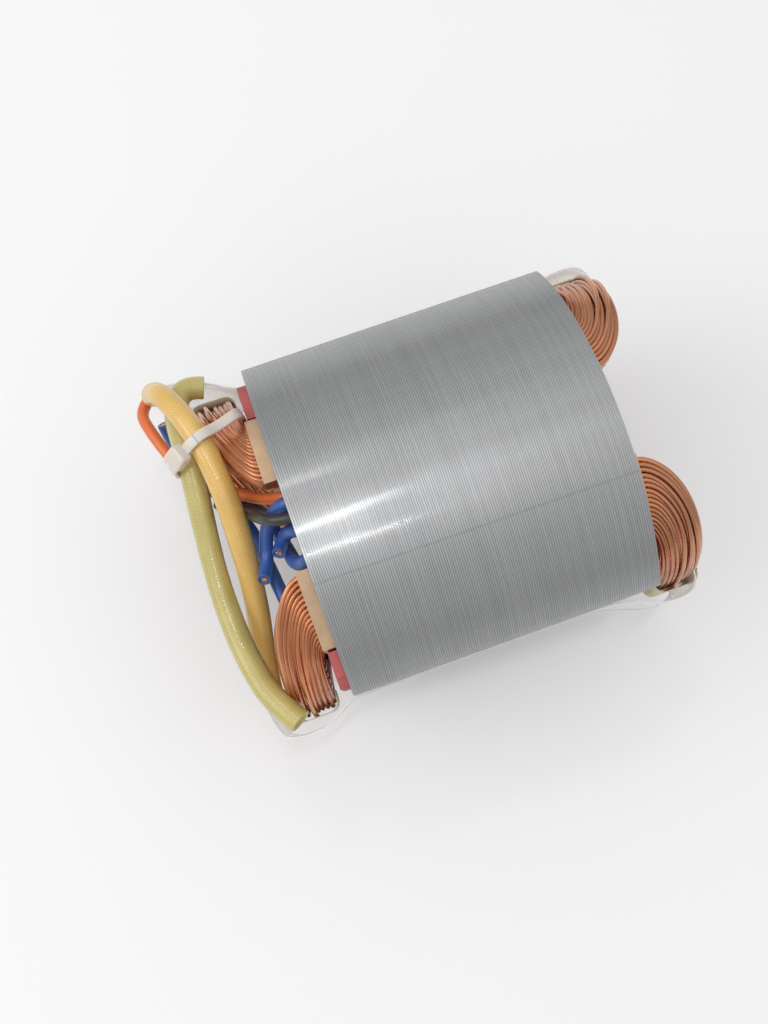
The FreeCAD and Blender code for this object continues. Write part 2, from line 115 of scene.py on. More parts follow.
class SheetSettings(bpy.types.PropertyGroup):
    liner: colour("Slot liner", "Varnished paper in the slots", (0.74, 0.50, 0.30))
    fibre: colour("Red fibre", "Insulators on the pole ends", (0.56, 0.115, 0.11))
    cream: colour("Cream paper", "Strips over the coil ends", (0.80, 0.72, 0.52))
    film: colour("Film", "Clear film over the flats", (0.90, 0.91, 0.92))
    paper_thickness: length("Paper thickness", "Thickness of the cream strips", 0.3)
    paper_half: length("Paper height", "Half the height of the cream strips", 6.0)
    film_thickness: length("Film thickness", "Thickness of the film", 0.3)
    film_half: length("Film height", "Half the height of the film", 11.5)


class LeadSettings(bpy.types.PropertyGroup):
    sleeve: length("Sleeve", "Outside diameter of the woven sleeves, with their varnish", 5.5)
    sleeve_wall: length("Sleeve wall", "Wall thickness of the sleeves", 0.6)
    mouth: length("Mouth", "Depth of the open mouths", 4.0)
    braid: length("Braid", "Length of one stitch of the braid", 0.85)
    carriers: IntProperty(name="Carriers", description="Strands each way round the braid", default=20)
    orange: length("Orange lead", "Outside diameter", 2.8)
    black: length("Black leads", "Outside diameter", 2.6)
    blue: length("Blue leads", "Outside diameter", 3.2)
    core: length("Conductor", "Diameter of the bundle of bare strands", 1.7)
    green_weave: colour("Greenish sleeve", "Varnished glass braid", (0.51, 0.43, 0.125))
    orange_weave: colour("Amber sleeve", "Varnished glass braid", (0.74, 0.455, 0.105))
    orange_skin: colour("Orange", "Lead insulation", (0.84, 0.19, 0.05))
    blue_skin: colour("Blue", "Lead insulation", (0.045, 0.125, 0.42))
    black_skin: colour("Black", "Lead insulation", (0.035, 0.036, 0.04))
    strand: colour("Bare strands", "Cut copper", (0.86, 0.50, 0.33))
    strap_width: length("Strap width", "Width of the cable tie", 2.4)
    strap_thickness: length("Strap thickness", "Thickness of the cable tie", 1.0)
    head_length: length("Tie head length", "Along the strap", 5.0)
    head_depth: length("Tie head depth", "Square to the strap", 3.2)
    head_width: length("Tie head width", "Across the strap", 4.6)
    nylon: colour("Nylon", "Cable tie", (0.72, 0.665, 0.60))


class StageSettings(bpy.types.PropertyGroup):
    floor_tone: FloatProperty(name="Floor", description="Grey of the floor", default=0.90, min=0.0, max=1.0)
    sky: share("Sky", "Strength of the soft light from above", 0.86)
    horizon: share("Horizon", "Strength of the soft light from the sides", 0.36)
    strips: share("Ceiling strips", "Power of the brightest strip lamp, in watts", 0.85)
    side: share("Side light", "Power of the big soft lamp on the left, in watts", 1.6)


# ---- surfaces --------------------------------------------------------------------------------------------
def surface(name, points, wrap_rows=False, wrap_columns=True, caps=False, tone=None, inside_out=False):
    """Mesh of one or many grids. points is (grids, rows, columns, 3).

    A quad joins each point to the next in its row and column. A wrapped direction is closed on itself, and
    caps fills the first and last row. UV is the row's distance along, in mm, and the share round.
    """
    grids, rows, columns = points.shape[:3]
    index = np.arange(grids * rows * columns).reshape(grids, rows, columns)
    r = slice(0, rows if wrap_rows else rows - 1)
    c = slice(0, columns if wrap_columns else columns - 1)
    ahead, beside = np.roll(index, -1, 1), np.roll(index, -1, 2)
    both = np.roll(ahead, -1, 2)
    corners = [index, beside, both, ahead]
    if inside_out:
        corners.reverse()
    quads = np.stack([a[:, r, c] for a in corners], -1).reshape(-1)
    loops, starts = [quads], [np.arange(0, quads.size, 4)]
    if caps:
        first, last = index[:, 0, ::-1], index[:, -1, :]
        ends = np.concatenate([first, last])
        loops.append(ends.reshape(-1))
        starts.append(quads.size + np.arange(len(ends)) * columns)
    loops, starts = np.concatenate(loops), np.concatenate(starts)
    mesh = bpy.data.meshes.new(name)
    mesh.vertices.add(index.size)
    mesh.vertices.foreach_set("co", points.reshape(-1).astype(np.float32))
    mesh.loops.add(len(loops))
    mesh.loops.foreach_set("vertex_index", loops.astype(np.int32))
    mesh.polygons.add(len(starts))
    mesh.polygons.foreach_set("loop_start", starts.astype(np.int32))
    mesh.polygons.foreach_set("use_smooth", np.ones(len(starts), bool))
    mesh.update(calc_edges=True)
    step = np.linalg.norm(np.diff(points.mean(2), axis=1), axis=-1)
    along = np.concatenate([np.zeros((grids, 1)), np.cumsum(step, 1)], 1)
    closing = along[:, -1:] + np.linalg.norm(points[:, 0].mean(1) - points[:, -1].mean(1), axis=-1)[:, None]
    row_u = np.concatenate([along, closing], 1)
    col_v = np.arange(columns + 1) / columns
    shift = {0: (0, 0), 1: (0, 1), 2: (1, 1), 3: (1, 0)}
    order = [3, 2, 1, 0] if inside_out else [0, 1, 2, 3]
    shape = index[:, r, c].shape
    rr, cc = np.arange(shape[1]), np.arange(shape[2])
    uv = []
    for k in order:
        dr, dc = shift[k]
        u = np.broadcast_to(row_u[:, rr + dr][:, :, None], shape)
        v = np.broadcast_to(col_v[cc + dc][None, None, :], shape)
        uv.append(np.stack([u, v], -1))
    uv = np.stack(uv, 3).reshape(-1, 2)
    full = np.zeros((len(loops), 2), np.float32)
    full[:len(uv)] = uv / np.array([MM, 1.0])
    layer = mesh.uv_layers.new(name="along")
    layer.data.foreach_set("uv", full.reshape(-1))
    if tone is not None:
        values = np.broadcast_to(tone, index.shape).reshape(-1).astype(np.float32)
        mesh.attributes.new("tone", "FLOAT", "POINT").data.foreach_set("value", values)
    mesh.validate()
    return mesh


def put(name, data):
    made = bpy.data.objects.new(name, data)
    bpy.context.scene.collection.objects.link(made)
    return made


def piece(name, points, finish_name, slot, replaced=(), **shape):
    """Put a surface in the scene as one piece that rides on the stator."""
    made = put(name, surface(name, points, **shape))
    made.data.materials.append(material(finish_name))
    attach(made, "root")
    if replaced:
        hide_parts(*replaced)


def unit(vectors):
    return vectors / np.maximum(np.linalg.norm(vectors, axis=-1, keepdims=True), 1e-12)


def circle_angles(count):
    return np.linspace(0.0, 2.0 * math.pi, count, endpoint=False)


def distances(line):
    """Distance of each point of a line from the first one, along the line."""
    return np.concatenate([[0.0], np.cumsum(np.linalg.norm(np.diff(line, axis=0), axis=1))])


def read_at(stations, reach, values):
    """Points or directions along a line, given at the distances reach, read at the stations."""
    return np.stack([np.interp(stations, reach, column) for column in values.T], 1)


def without_repeats(route):
    step = np.linalg.norm(np.diff(route, axis=0), axis=1)
    return route[np.concatenate([[True], step > 1e-9])]


def rings_round(path, reference, radius, sides):
    """Circles square to a path: point + radius * (cos a * across + sin a * up).

    across is the reference made square to the path;
    path and reference are (grids, rows, 3), and the paths are closed.
    """
    ahead = unit(np.roll(path, -1, 1) - np.roll(path, 1, 1))
    across = unit(reference - (reference * ahead).sum(-1, keepdims=True) * ahead)
    up = np.cross(ahead, across)
    a = circle_angles(sides)[:, None]
    return path[:, :, None] + radius * (np.cos(a) * across[:, :, None] + np.sin(a) * up[:, :, None])


def smooth_route(points):
    """Centre line of a lead: a second-degree NURBS curve that the route's points pull on."""
    curve = bpy.data.curves.new("route", "CURVE")
    curve.dimensions = "3D"
    curve.resolution_u = 16
    spline = curve.splines.new("NURBS")
    spline.points.add(len(points) - 1)
    spline.points.foreach_set("co", [c for p in points for c in (*(v * MM for v in p), 1.0)])
    spline.order_u = 3
    spline.use_endpoint_u = True
    holder = bpy.data.objects.new("route", curve)
    line = bpy.data.meshes.new_from_object(holder)
    at = np.zeros(len(line.vertices) * 3)
    line.vertices.foreach_get("co", at)
    bpy.data.objects.remove(holder)
    bpy.data.curves.remove(curve)
    bpy.data.meshes.remove(line)
    return at.reshape(-1, 3)


def sweep(route, stations, radii, sides):
    """Round section carried along a route: a circle of each radius at each distance along it.

    The section doesn't twist: each across direction is the one before it, made square to the path again.
    A station may turn back, which folds the surface over a lip.
    """
    route = without_repeats(route)
    reach = distances(route)
    fine = np.linspace(0.0, reach[-1], 400)
    line = read_at(fine, reach, route)
    ahead = unit(np.gradient(line, axis=0))
    across = np.zeros_like(line)
    last = np.cross(ahead[0], (0.0, 0.0, 1.0))
    for k in range(len(line)):
        last = last - ahead[k] * last.dot(ahead[k])
        last = last / np.linalg.norm(last)
        across[k] = last
    up = np.cross(ahead, across)
    at, side, top = (read_at(stations, fine, v) for v in (line, across, up))
    side, top = unit(side), unit(top)
    a = circle_angles(sides)[None, :, None]
    radii = np.asarray(radii, float)
    radii = radii[:, None, None] if radii.ndim == 1 else radii[:, :, None]
    return (at[:, None] + radii * (np.cos(a) * side[:, None] + np.sin(a) * top[:, None]))[None]


# ---- shader groups ---------------------------------------------------------------------------------------
def feed(tree, socket, value):
    """Give a node's input its value: a link where the value is another node's output, else a constant."""
    if isinstance(value, bpy.types.NodeSocket):
        tree.links.new(value, socket)
    else:
        socket.default_value = value


def node(tree, kind, inputs=None, **settings):
    made = tree.nodes.new(kind)
    for key, value in settings.items():
        setattr(made, key, value)
    for key, value in (inputs or {}).items():
        feed(tree, made.inputs[key], value)
    return made


def maths(tree, operation, a, b=0.0, c=0.0):
    return node(tree, "ShaderNodeMath", {0: a, 1: b, 2: c}, operation=operation).outputs[0]


def blend(tree, share, a, b):
    """Colour a to colour b by a share."""
    mix = node(tree, "ShaderNodeMix", {0: share}, data_type="RGBA")
    for socket, value in ((mix.inputs[6], a), (mix.inputs[7], b)):
        feed(tree, socket, value if isinstance(value, bpy.types.NodeSocket) else (*value, 1.0)[:4])
    return mix.outputs[2]


def spread(tree, value, low, high, to_low=0.0, to_high=1.0, **settings):
    """Value from low to high turned into to_low to to_high, and held at its ends."""
    inputs = {0: value, 1: low, 2: high, 3: to_low, 4: to_high}
    return node(tree, "ShaderNodeMapRange", inputs, **settings).outputs[0]


def coordinate(tree, vector, axis):
    return node(tree, "ShaderNodeSeparateXYZ", {0: vector}).outputs[axis]


def stretched_noise(tree, at, stretch, detail):
    """Noise of size 1 on coordinates that are multiplied by a stretch along each axis."""
    scaled = node(tree, "ShaderNodeMapping", {0: at, 3: stretch}).outputs[0]
    return node(tree, "ShaderNodeTexNoise", {"Vector": scaled, "Scale": 1.0, "Detail": detail}).outputs[0]


def new_group(name, inputs, outputs):
    """Empty shader group and its sockets. inputs is label: value, where None makes a vector input."""
    group = bpy.data.node_groups.new(name, "ShaderNodeTree")
    for label, value in inputs.items():
        kind = "NodeSocketVector" if value is None else "NodeSocketFloat"
        socket = group.interface.new_socket(label, in_out="INPUT", socket_type=kind)
        if value is not None:
            socket.default_value = value
    for label in outputs:
        group.interface.new_socket(label, in_out="OUTPUT", socket_type="NodeSocketFloat")
    given = group.nodes.new("NodeGroupInput").outputs
    return group, given, group.nodes.new("NodeGroupOutput").inputs


def close_group(group, sockets, values):
    for value, socket in zip(values, sockets):
        group.links.new(value, socket)
    return group


def grain_group():
    """Fine grain over slow patches: Fine and Patches are noises of two sizes, Height mixes both."""
    group, given, out = new_group("surface grain", {"Vector": None, "Fine size": 2000.0, "Patch size": 120.0},
                                  ["Fine", "Patches", "Height"])
    fine, slow = (node(group, "ShaderNodeTexNoise", {"Vector": given[0], "Scale": given[k], "Detail": detail,
                                                     "Roughness": rough}).outputs[0]
                  for k, detail, rough in ((1, 3.0, 0.6), (2, 4.0, 0.55)))
    height = maths(group, "MULTIPLY_ADD", slow, 0.6, maths(group, "MULTIPLY", fine, 0.4))
    return close_group(group, out, (fine, slow, height))


def sheet_group():
    """Stacked sheets along X: Tone is one random value per sheet, Notch is 1 between two sheets."""
    group, given, out = new_group("stacked sheets", {"Vector": None, "Pitch": 0.5 * MM, "Line": 0.14},
                                  ["Tone", "Notch"])
    sheet = maths(group, "DIVIDE", coordinate(group, given[0], 0), given[1])
    number = maths(group, "FLOOR", sheet)
    tone = node(group, "ShaderNodeTexWhiteNoise", {"W": number}, noise_dimensions="1D").outputs[0]
    middle = maths(group, "ABSOLUTE", maths(group, "SUBTRACT", maths(group, "FRACT", sheet), 0.5))
    edge = maths(group, "SUBTRACT", 0.5, given[2])
    notch = spread(group, middle, edge, 0.5, interpolation_type="SMOOTHSTEP")
    return close_group(group, out, (tone, notch))


def braid_group():
    """Braid on a tube's UV: two families of strands, turns * v + u / stitch and turns * v - u / stitch.

    Height is the crown of the strand on top, which changes from one family to the other in a chequer.
    """
    group, given, out = new_group("braid", {"UV": None, "Carriers": 12.0, "Stitch": 1.9}, ["Height", "Over"])
    split = node(group, "ShaderNodeSeparateXYZ", {0: given[0]}).outputs
    turn = maths(group, "MULTIPLY", split[1], given[1])
    pitch = maths(group, "DIVIDE", split[0], given[2])
    waves = [maths(group, "SINE", maths(group, "MULTIPLY", maths(group, family, turn, pitch), math.pi))
             for family in ("ADD", "SUBTRACT")]
    crowns = [maths(group, "ABSOLUTE", wave) for wave in waves]
    over = maths(group, "GREATER_THAN", maths(group, "MULTIPLY", *waves), 0.0)
    height = node(group, "ShaderNodeMix", {0: over, 2: crowns[1], 3: crowns[0]}).outputs[0]
    return close_group(group, out, (height, over))


GROUPS = {}


def effect(tree, name, inputs):
    """Outputs of one of the shader groups, which is made when it is first wanted."""
    if name not in GROUPS:
        GROUPS[name] = {"grain": grain_group, "sheets": sheet_group, "braid": braid_group}[name]()
    return node(tree, "ShaderNodeGroup", inputs, node_tree=GROUPS[name]).outputs


def grain_on(tree, at, fine, patch):
    return effect(tree, "grain", {"Vector": at, "Fine size": fine, "Patch size": patch})


# ---- materials -------------------------------------------------------------------------------------------
SHADOW_LINE_Y, SHADOW_LINE_HALF = -14.5 * MM, 0.4 * MM          # one long painted shadow line down the stack, and half its width
PLAIN_END_SHADE_FROM, PLAIN_END_SHADE_TO = 30.0 * MM, 44.0 * MM             # painted shade: the copper darkens here, at the plain end
RUBBED_STEEL, SHADED_COPPER = (0.42, 0.445, 0.46), (0.50, 0.24, 0.14)
BARE_GLASS, VARNISH_GLINT = (0.93, 0.84, 0.62), (0.95, 0.88, 0.72)
STREAKS = {"rubbed": (6.0, 130.0, 130.0), "fine": (2.0, 900.0, 900.0), "by sheet": (4000.0, 60.0, 60.0)}


def start(name):
    made = bpy.data.materials.new(name)
    made.use_nodes = True
    tree = made.node_tree
    where = node(tree, "ShaderNodeTexCoord").outputs
    return made, tree, tree.nodes["Principled BSDF"], where


def tint(tone, factor):
    return tuple(min(1.0, c * factor) for c in tone)


def finish(tree, shader, tone, rough, height=None, depth=0.0, **constants):
    """Set colour, roughness, a bump of the given depth, and constants on the shader's own sockets."""
    feed(tree, shader.inputs["Base Color"], tone)
    feed(tree, shader.inputs["Roughness"], rough)
    if height is not None:
        bump = node(tree, "ShaderNodeBump", {"Height": height, "Distance": depth, "Strength": 1.0})
        tree.links.new(bump.outputs[0], shader.inputs["Normal"])
    for key, value in constants.items():
        shader.inputs[key.replace("_", " ")].default_value = value


def steel_finish(steel, pitch):
    """Cut edges of electrical sheet: a tone per sheet, dark lines between, rubbed bands and one long painted
    shadow line down the stack.
    """
    made, tree, shader, where = start("lamination steel")
    at = where["Object"]
    sheets = effect(tree, "sheets", {"Vector": at, "Pitch": pitch, "Line": 0.16})
    rubbed = stretched_noise(tree, at, STREAKS["rubbed"], 3.0)
    streak = stretched_noise(tree, at, STREAKS["fine"], 2.0)
    per_sheet = stretched_noise(tree, at, STREAKS["by sheet"], 1.0)
    grain = grain_on(tree, at, 3500.0, 45.0)
    dark, light = tint(steel, 0.8), tint(steel, 1.15)
    tone = blend(tree, sheets["Tone"], dark, light)
    tone = blend(tree, 0.62, tone, steel)
    tone = blend(tree, spread(tree, per_sheet, 0.3, 0.7, 0.0, 0.35), tone, dark)
    tone = blend(tree, spread(tree, rubbed, 0.42, 0.72, 0.0, 0.35), tone, RUBBED_STEEL)
    tone = blend(tree, spread(tree, streak, 0.62, 0.75, 0.0, 0.3), tone, light)
    tone = blend(tree, maths(tree, "MULTIPLY", sheets["Notch"], 0.7), tone, tint(steel, 0.25))
    # painted shadow: a thin dark line down the stack, darkest at its middle
    off = maths(tree, "ABSOLUTE", maths(tree, "SUBTRACT", coordinate(tree, at, 1), SHADOW_LINE_Y))
    tone = blend(tree, spread(tree, off, 0.0, SHADOW_LINE_HALF, 0.28, 0.0), tone, tint(steel, 0.4))
    rough = spread(tree, grain["Patches"], 0.3, 0.7, 0.30, 0.44)
    rough = maths(tree, "ADD", rough, maths(tree, "MULTIPLY", sheets["Notch"], 0.3))
    finish(tree, shader, tone, rough, grain["Height"], 0.03 * MM, Metallic=0.68, Coat_Weight=0.6,
           Coat_Roughness=0.13)
    return made


def plain_finish(name, base, rough, fine, patch, shade, depth, **constants):
    """Sheet or moulded surface: slow patches between the colour and a darker one, fine grain in the bump."""
    made, tree, shader, where = start(name)
    grain = grain_on(tree, where["Object"], fine, patch)
    tone = blend(tree, spread(tree, grain["Patches"], 0.3, 0.75), base, tint(base, shade))
    tone = blend(tree, spread(tree, grain["Fine"], 0.55, 0.8, 0.0, 0.35), tone, tint(base, 1.25))
    worn = spread(tree, grain["Patches"], 0.3, 0.7, rough - 0.06, rough + 0.08)
    finish(tree, shader, tone, worn, grain["Height"], depth, **constants)
    return made


def copper_finish(light, shade):
    """Enamelled wire: each wire has its own tone, with darker baked patches under a clear coat, and painted
    shade that darkens the wires at the plain end.
    """
    made, tree, shader, where = start("enamelled copper")
    own = node(tree, "ShaderNodeAttribute", attribute_name="tone").outputs["Fac"]
    grain = grain_on(tree, where["Object"], 900.0, 140.0)
    tone = blend(tree, spread(tree, own, 0.0, 1.0, 0.35, 1.0), shade, light)
    tone = blend(tree, spread(tree, grain["Patches"], 0.45, 0.75, 0.0, 0.4), tone, shade)
    # painted shade: the wires darken towards the plain end
    baked = spread(tree, coordinate(tree, where["Object"], 0), PLAIN_END_SHADE_FROM, PLAIN_END_SHADE_TO, 0.0, 0.6)
    tone = blend(tree, baked, tone, SHADED_COPPER)
    rough = spread(tree, grain["Patches"], 0.3, 0.7, 0.2, 0.3)
    finish(tree, shader, tone, rough, grain["Patches"], 0.01 * MM, Metallic=0.85, Coat_Weight=0.5,
           Coat_Roughness=0.1)
    return made


def braid_finish(name, base, carriers, stitch):
    """Varnished glass braid: bright strand crowns, darker gaps, and varnish that lies in patches."""
    made, tree, shader, where = start(name)
    braid = effect(tree, "braid", {"UV": where["UV"], "Carriers": float(carriers), "Stitch": stitch / MM})
    grain = grain_on(tree, where["Object"], 2400.0, 150.0)
    tone = blend(tree, spread(tree, braid["Height"], 0.05, 0.7), tint(base, 0.82), tint(base, 1.1))
    tone = blend(tree, maths(tree, "MULTIPLY", braid["Over"], 0.1), tone, BARE_GLASS)
    tone = blend(tree, spread(tree, grain["Patches"], 0.4, 0.75, 0.0, 0.4), tone, tint(base, 0.78))
    tone = blend(tree, spread(tree, grain["Fine"], 0.62, 0.8, 0.0, 0.3), tone, VARNISH_GLINT)
    rough = spread(tree, grain["Patches"], 0.3, 0.7, 0.28, 0.44)
    finish(tree, shader, tone, rough, braid["Height"], 0.02 * MM, Coat_Weight=0.7, Coat_Roughness=0.14)
    return made


def film_finish(base):
    """Clear film: mostly see-through face on, with painted reflection that whitens it edge on, a painted
    highlight along its rims, and a few scuffs.
    """
    made, tree, shader, where = start("clear film")
    grain = grain_on(tree, where["Object"], 1200.0, 90.0)
    # painted reflection: the film turns whiter and less clear as it is seen edge on
    edge = node(tree, "ShaderNodeLayerWeight", {"Blend": 0.35}).outputs["Facing"]
    alpha = maths(tree, "ADD", spread(tree, edge, 0.2, 0.97, 0.10, 0.62),
                  spread(tree, grain["Patches"], 0.55, 0.8, 0.0, 0.10))
    # painted highlight: the rims, whose normals point up or down, turn near white
    up = coordinate(tree, node(tree, "ShaderNodeNewGeometry").outputs["Normal"], 2)
    rim_highlight = spread(tree, maths(tree, "ABSOLUTE", up), 0.5, 0.8, 0.0, 0.85)
    tree.links.new(maths(tree, "MAXIMUM", alpha, rim_highlight), shader.inputs["Alpha"])
    rough = spread(tree, grain["Patches"], 0.3, 0.7, 0.08, 0.22)
    finish(tree, shader, (*base, 1.0), rough, grain["Height"], 0.03 * MM)
    return made


# finish: (material, settings, colour, roughness, fine grain, patches, shade, bump in mm, shader constants)
PLAIN = {
    "liner": ("liner paper", "sheets", "liner", 0.42, 1500.0, 130.0, 0.7, 0.05, {"Coat_Weight": 0.25}),
    "fibre": ("red fibre", "sheets", "fibre", 0.55, 2200.0, 220.0, 0.72, 0.04, {}),
    "cream": ("cream paper", "sheets", "cream", 0.7, 3000.0, 200.0, 0.85, 0.03, {}),
    "orange": ("orange insulation", "leads", "orange_skin", 0.36, 1800.0, 110.0, 0.8, 0.01,
               {"Coat_Weight": 0.2}),
    "blue": ("blue insulation", "leads", "blue_skin", 0.34, 1800.0, 110.0, 0.75, 0.01,
             {"Coat_Weight": 0.2}),
    "black": ("black insulation", "leads", "black_skin", 0.38, 1800.0, 110.0, 0.7, 0.01,
              {"Coat_Weight": 0.2}),
    "strand": ("bare strands", "leads", "strand", 0.26, 2600.0, 300.0, 0.7, 0.01, {"Metallic": 1.0}),
    "nylon": ("nylon", "leads", "nylon", 0.32, 1600.0, 90.0, 0.93, 0.01,
              {"Subsurface_Weight": 0.35, "Subsurface_Scale": 0.002, "Coat_Weight": 0.2}),
}
BRAIDS = {"green": ("greenish braid", "green_weave"), "amber": ("amber braid", "orange_weave")}
MADE = {}


def make_material(name):
    scene = bpy.context.scene
    stack, coil, lead = scene.field_stack, scene.field_winding, scene.field_leads
    if name in PLAIN:
        label, group, key, *numbers, depth, constants = PLAIN[name]
        base = tuple(getattr(getattr(scene, "field_" + group), key))
        return plain_finish(label, base, *numbers, depth * MM, **constants)
    if name in BRAIDS:
        label, key = BRAIDS[name]
        return braid_finish(label, tuple(getattr(lead, key)), lead.carriers, lead.braid)
    if name == "steel":
        return steel_finish(tuple(stack.steel), stack.sheet_pitch)
    if name == "copper":
        return copper_finish(tuple(coil.copper), tuple(coil.shade))
    return film_finish(tuple(scene.field_sheets.film))


def material(name):
    """One material per finish, made when it is first wanted."""
    if name not in MADE:
        MADE[name] = make_material(name)
    return MADE[name]


def dress(names, finish_name):
    """Give carried-over solids a material."""
    for name in names:
        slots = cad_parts[name].data.materials
        slots.clear()
        slots.append(material(finish_name))


# ---- lamination stack ------------------------------------------------------------------------------------
def arc_points(radius, start_angle, end_angle, count):
    """(y, z) on a circle round the bore's axis, angles from +Y towards +Z."""
    a = np.linspace(start_angle, end_angle, count)
    return np.stack([radius * np.cos(a), radius * np.sin(a)], 1)


def straight(a, b, count):
    """Points from a up to, but not on, b."""
    share_along = np.linspace(0.0, 1.0, count, endpoint=False)[:, None]
    return np.asarray(a) + (np.asarray(b) - np.asarray(a)) * share_along


def outer_profile(s):
    """Round side, flat, round side, flat: arcs of the outer radius cut by the lines y = +- flat distance."""
    corner = math.acos(s.flat_distance / s.outer_radius)
    top = arc_points(s.outer_radius, corner, math.pi - corner, 48)[:-1]
    base = -top
    return np.concatenate([top, straight(-np.array([1, -1]) * top[0], base[0], 10),
                           base, straight(-base[0] * np.array([1, -1]), top[0], 10)])


def window_profile(s):
    """Inner outline: pole face, tip, shoe back, neck, slot wall and yoke, one quarter mirrored to four."""
    shoe = s.bore_radius + s.tip_thickness
    neck, wall = math.asin(s.neck_half / shoe), math.acos(s.slot_wall / s.yoke_inner)
    inner, outer = np.array([s.slot_wall, s.neck_half]), arc_points(s.yoke_inner, wall, wall, 1)[0]
    r = s.slot_corner
    quarter = np.concatenate([
        arc_points(s.bore_radius, 0.0, s.pole_arc, 14), arc_points(shoe, s.pole_arc, neck, 10),
        straight(arc_points(shoe, neck, neck, 1)[0], inner, 3)[1:],
        straight(inner + (0.0, r), outer - (0.0, r), 4),
        arc_points(s.yoke_inner, wall + r / s.yoke_inner, math.pi / 2, 13)])
    left = quarter[:-1][::-1] * (-1, 1)
    half = np.concatenate([quarter, left])
    return np.concatenate([half[:-1], (half * (1, -1))[::-1][:-1]])


CROWN_FINE = ((0.0, -0.6), (0.13, 1.0), (0.2, 1.0), (0.8, 1.0), (0.87, 1.0), (1.0, -0.6))
CROWN_PLAIN = ((0.0, -0.6), (0.13, 1.0), (0.87, 1.0), (1.0, -0.6))


def sheet_edges(profile, s, outward, crown, seed):
    """Edges of all the sheets: the profile moved out along its normals by 0 or the crown, sheet by sheet.

    crown holds (share of the sheet's thickness, share of the crown's height) of each row, and a sheet
    stands a little out of line with its neighbours.
    """
    rng = np.random.default_rng(seed)
    tangent = unit(np.roll(profile, -1, 0) - np.roll(profile, 1, 0))
    normal = np.stack([tangent[:, 1], -tangent[:, 0]], 1) * (1.0 if outward else -1.0)
    share, lift = np.array(crown).T
    lift = lift * s.crown
    first = -s.sheet_pitch * s.sheet_count / 2.0
    x = first + s.sheet_pitch * (np.arange(s.sheet_count)[:, None] + share)
    uneven = (rng.random((s.sheet_count, 1)) - 0.5) * s.scatter * (lift > 0)
    height = np.clip(lift + uneven, None, 1.2 * s.crown)
    yz = profile[None, None] + normal[None, None] * height[:, :, None, None]
    return np.concatenate([np.broadcast_to(x[:, :, None, None], (*yz.shape[:3], 1)), yz], -1)


# ---- windings --------------------------------------------------------------------------------------------
# The upper coil, in mm and degrees. Angles are round the bore's axis, from +Y.
LIP_X = 38.0                        # the liner's lip, from mid-stack
YOKE_SIDE = (36.3, 73.83, 44.02)    # radius of the layer by the yoke, its angles at mouth and end wall
SHOE_SIDE = (28.2, 69.0, 29.06)     # the same for the layer by the pole shoe
SLOT_WIDTH = 18.9                   # of the winding, from the slot's mouth to its end wall
END_REACH, END_DEPTH = 11.3, 9.6    # of the end turn along X: its far side past the lip, and its thickness
END_TOP_Y, END_HEIGHT = 38.7, 11.5  # of the end turn at its middle: its outer face and thickness
CORNER_COLUMNS, CORNER_LAYERS = 0.22, 0.5    # shares of the section over which its far corner is rounded
CORNER_X, CORNER_Y = 0.6, 2.2       # how far that corner is drawn in
LEAN, LEAN_LOSS = 30.0, 8.0         # outwards at the lip, and how much less when full
PULL, PULL_GAIN = 0.65, 0.5         # how far that lean holds, as a share of the reach
RISE, RISE_GAIN = 0.55, 0.27        # how soon the wire levels out, as a share of its height
RIDES = [0.0, 0.0, 0.0, 0.0, 0.0, 2.6, -2.2]    # columns that an outer wire strays, one drawn for each
WAVES = (1, 2, 3, 5, 8, 13)         # in a wire's wander, once round the coil


def wire_place(u, w, t, full):
    """Place of a wire of the upper coil on the lead end's end turn, as arrays.

    u is the share from the slot's mouth to its end wall, w from the yoke to the pole shoe, and t runs from
    the liner's lip to half-way between the slots. A cubic curve leaves the lip leaning outwards and arrives
    square, and full, 0 to 1, is how far it bulges on the way.
    """
    sides = []
    for radius, at_mouth, at_wall in (YOKE_SIDE, SHOE_SIDE):
        first, last = math.radians(at_mouth), math.radians(at_wall)
        angle = first + (last - first) * u
        sides.append(np.stack([radius * np.cos(angle), radius * np.sin(angle)], -1))
    slot = sides[0] + (sides[1] - sides[0]) * w[..., None]
    reach = END_REACH - END_DEPTH * u
    none = np.zeros_like(reach)
    begin = np.stack([none - LIP_X, slot[..., 0], slot[..., 1]], -1)
    near_mouth, near_yoke = (np.clip(1.0 - v, 0.0, 1.0) for v in (u / CORNER_COLUMNS, w / CORNER_LAYERS))
    corner = near_mouth ** 2 * near_yoke ** 2
    middle_y = END_TOP_Y - END_HEIGHT * w - CORNER_Y * corner
    middle = np.stack([-LIP_X - reach + CORNER_X * corner, middle_y, none], -1)
    lean = np.radians(LEAN - LEAN_LOSS * full)
    away = np.stack([-np.cos(lean), np.sin(lean), none], -1)
    pull = begin + away * ((PULL + PULL_GAIN * full) * reach)[..., None]
    rise = RISE + RISE_GAIN * np.clip(4.0 * full - 3.0, 0.0, 1.0)
    level = middle + np.stack([none, none, rise * slot[..., 1]], -1)
    t = t[..., None]
    k = 1.0 - t
    return (begin * k ** 3 + 3 * pull * k * k * t + 3 * level * k * t * t + middle * t ** 3) * MM


def loop_schedule(turn_steps, slot_steps):
    """(t, side of Z, end of X, share along the slot) of each row once round the coil."""
    t = np.linspace(0.0, 1.0, turn_steps)
    inside = 0.5 - 0.5 * np.cos(np.linspace(0.0, math.pi, slot_steps + 2)[1:-1])
    rows = []
    for end in (1.0, -1.0):
        rows += [(v, end, end, np.nan) for v in t] + [(v, -end, end, np.nan) for v in t[-2::-1]]
        rows += [(0.0, -end, end, v) for v in inside]
    return np.array(rows)


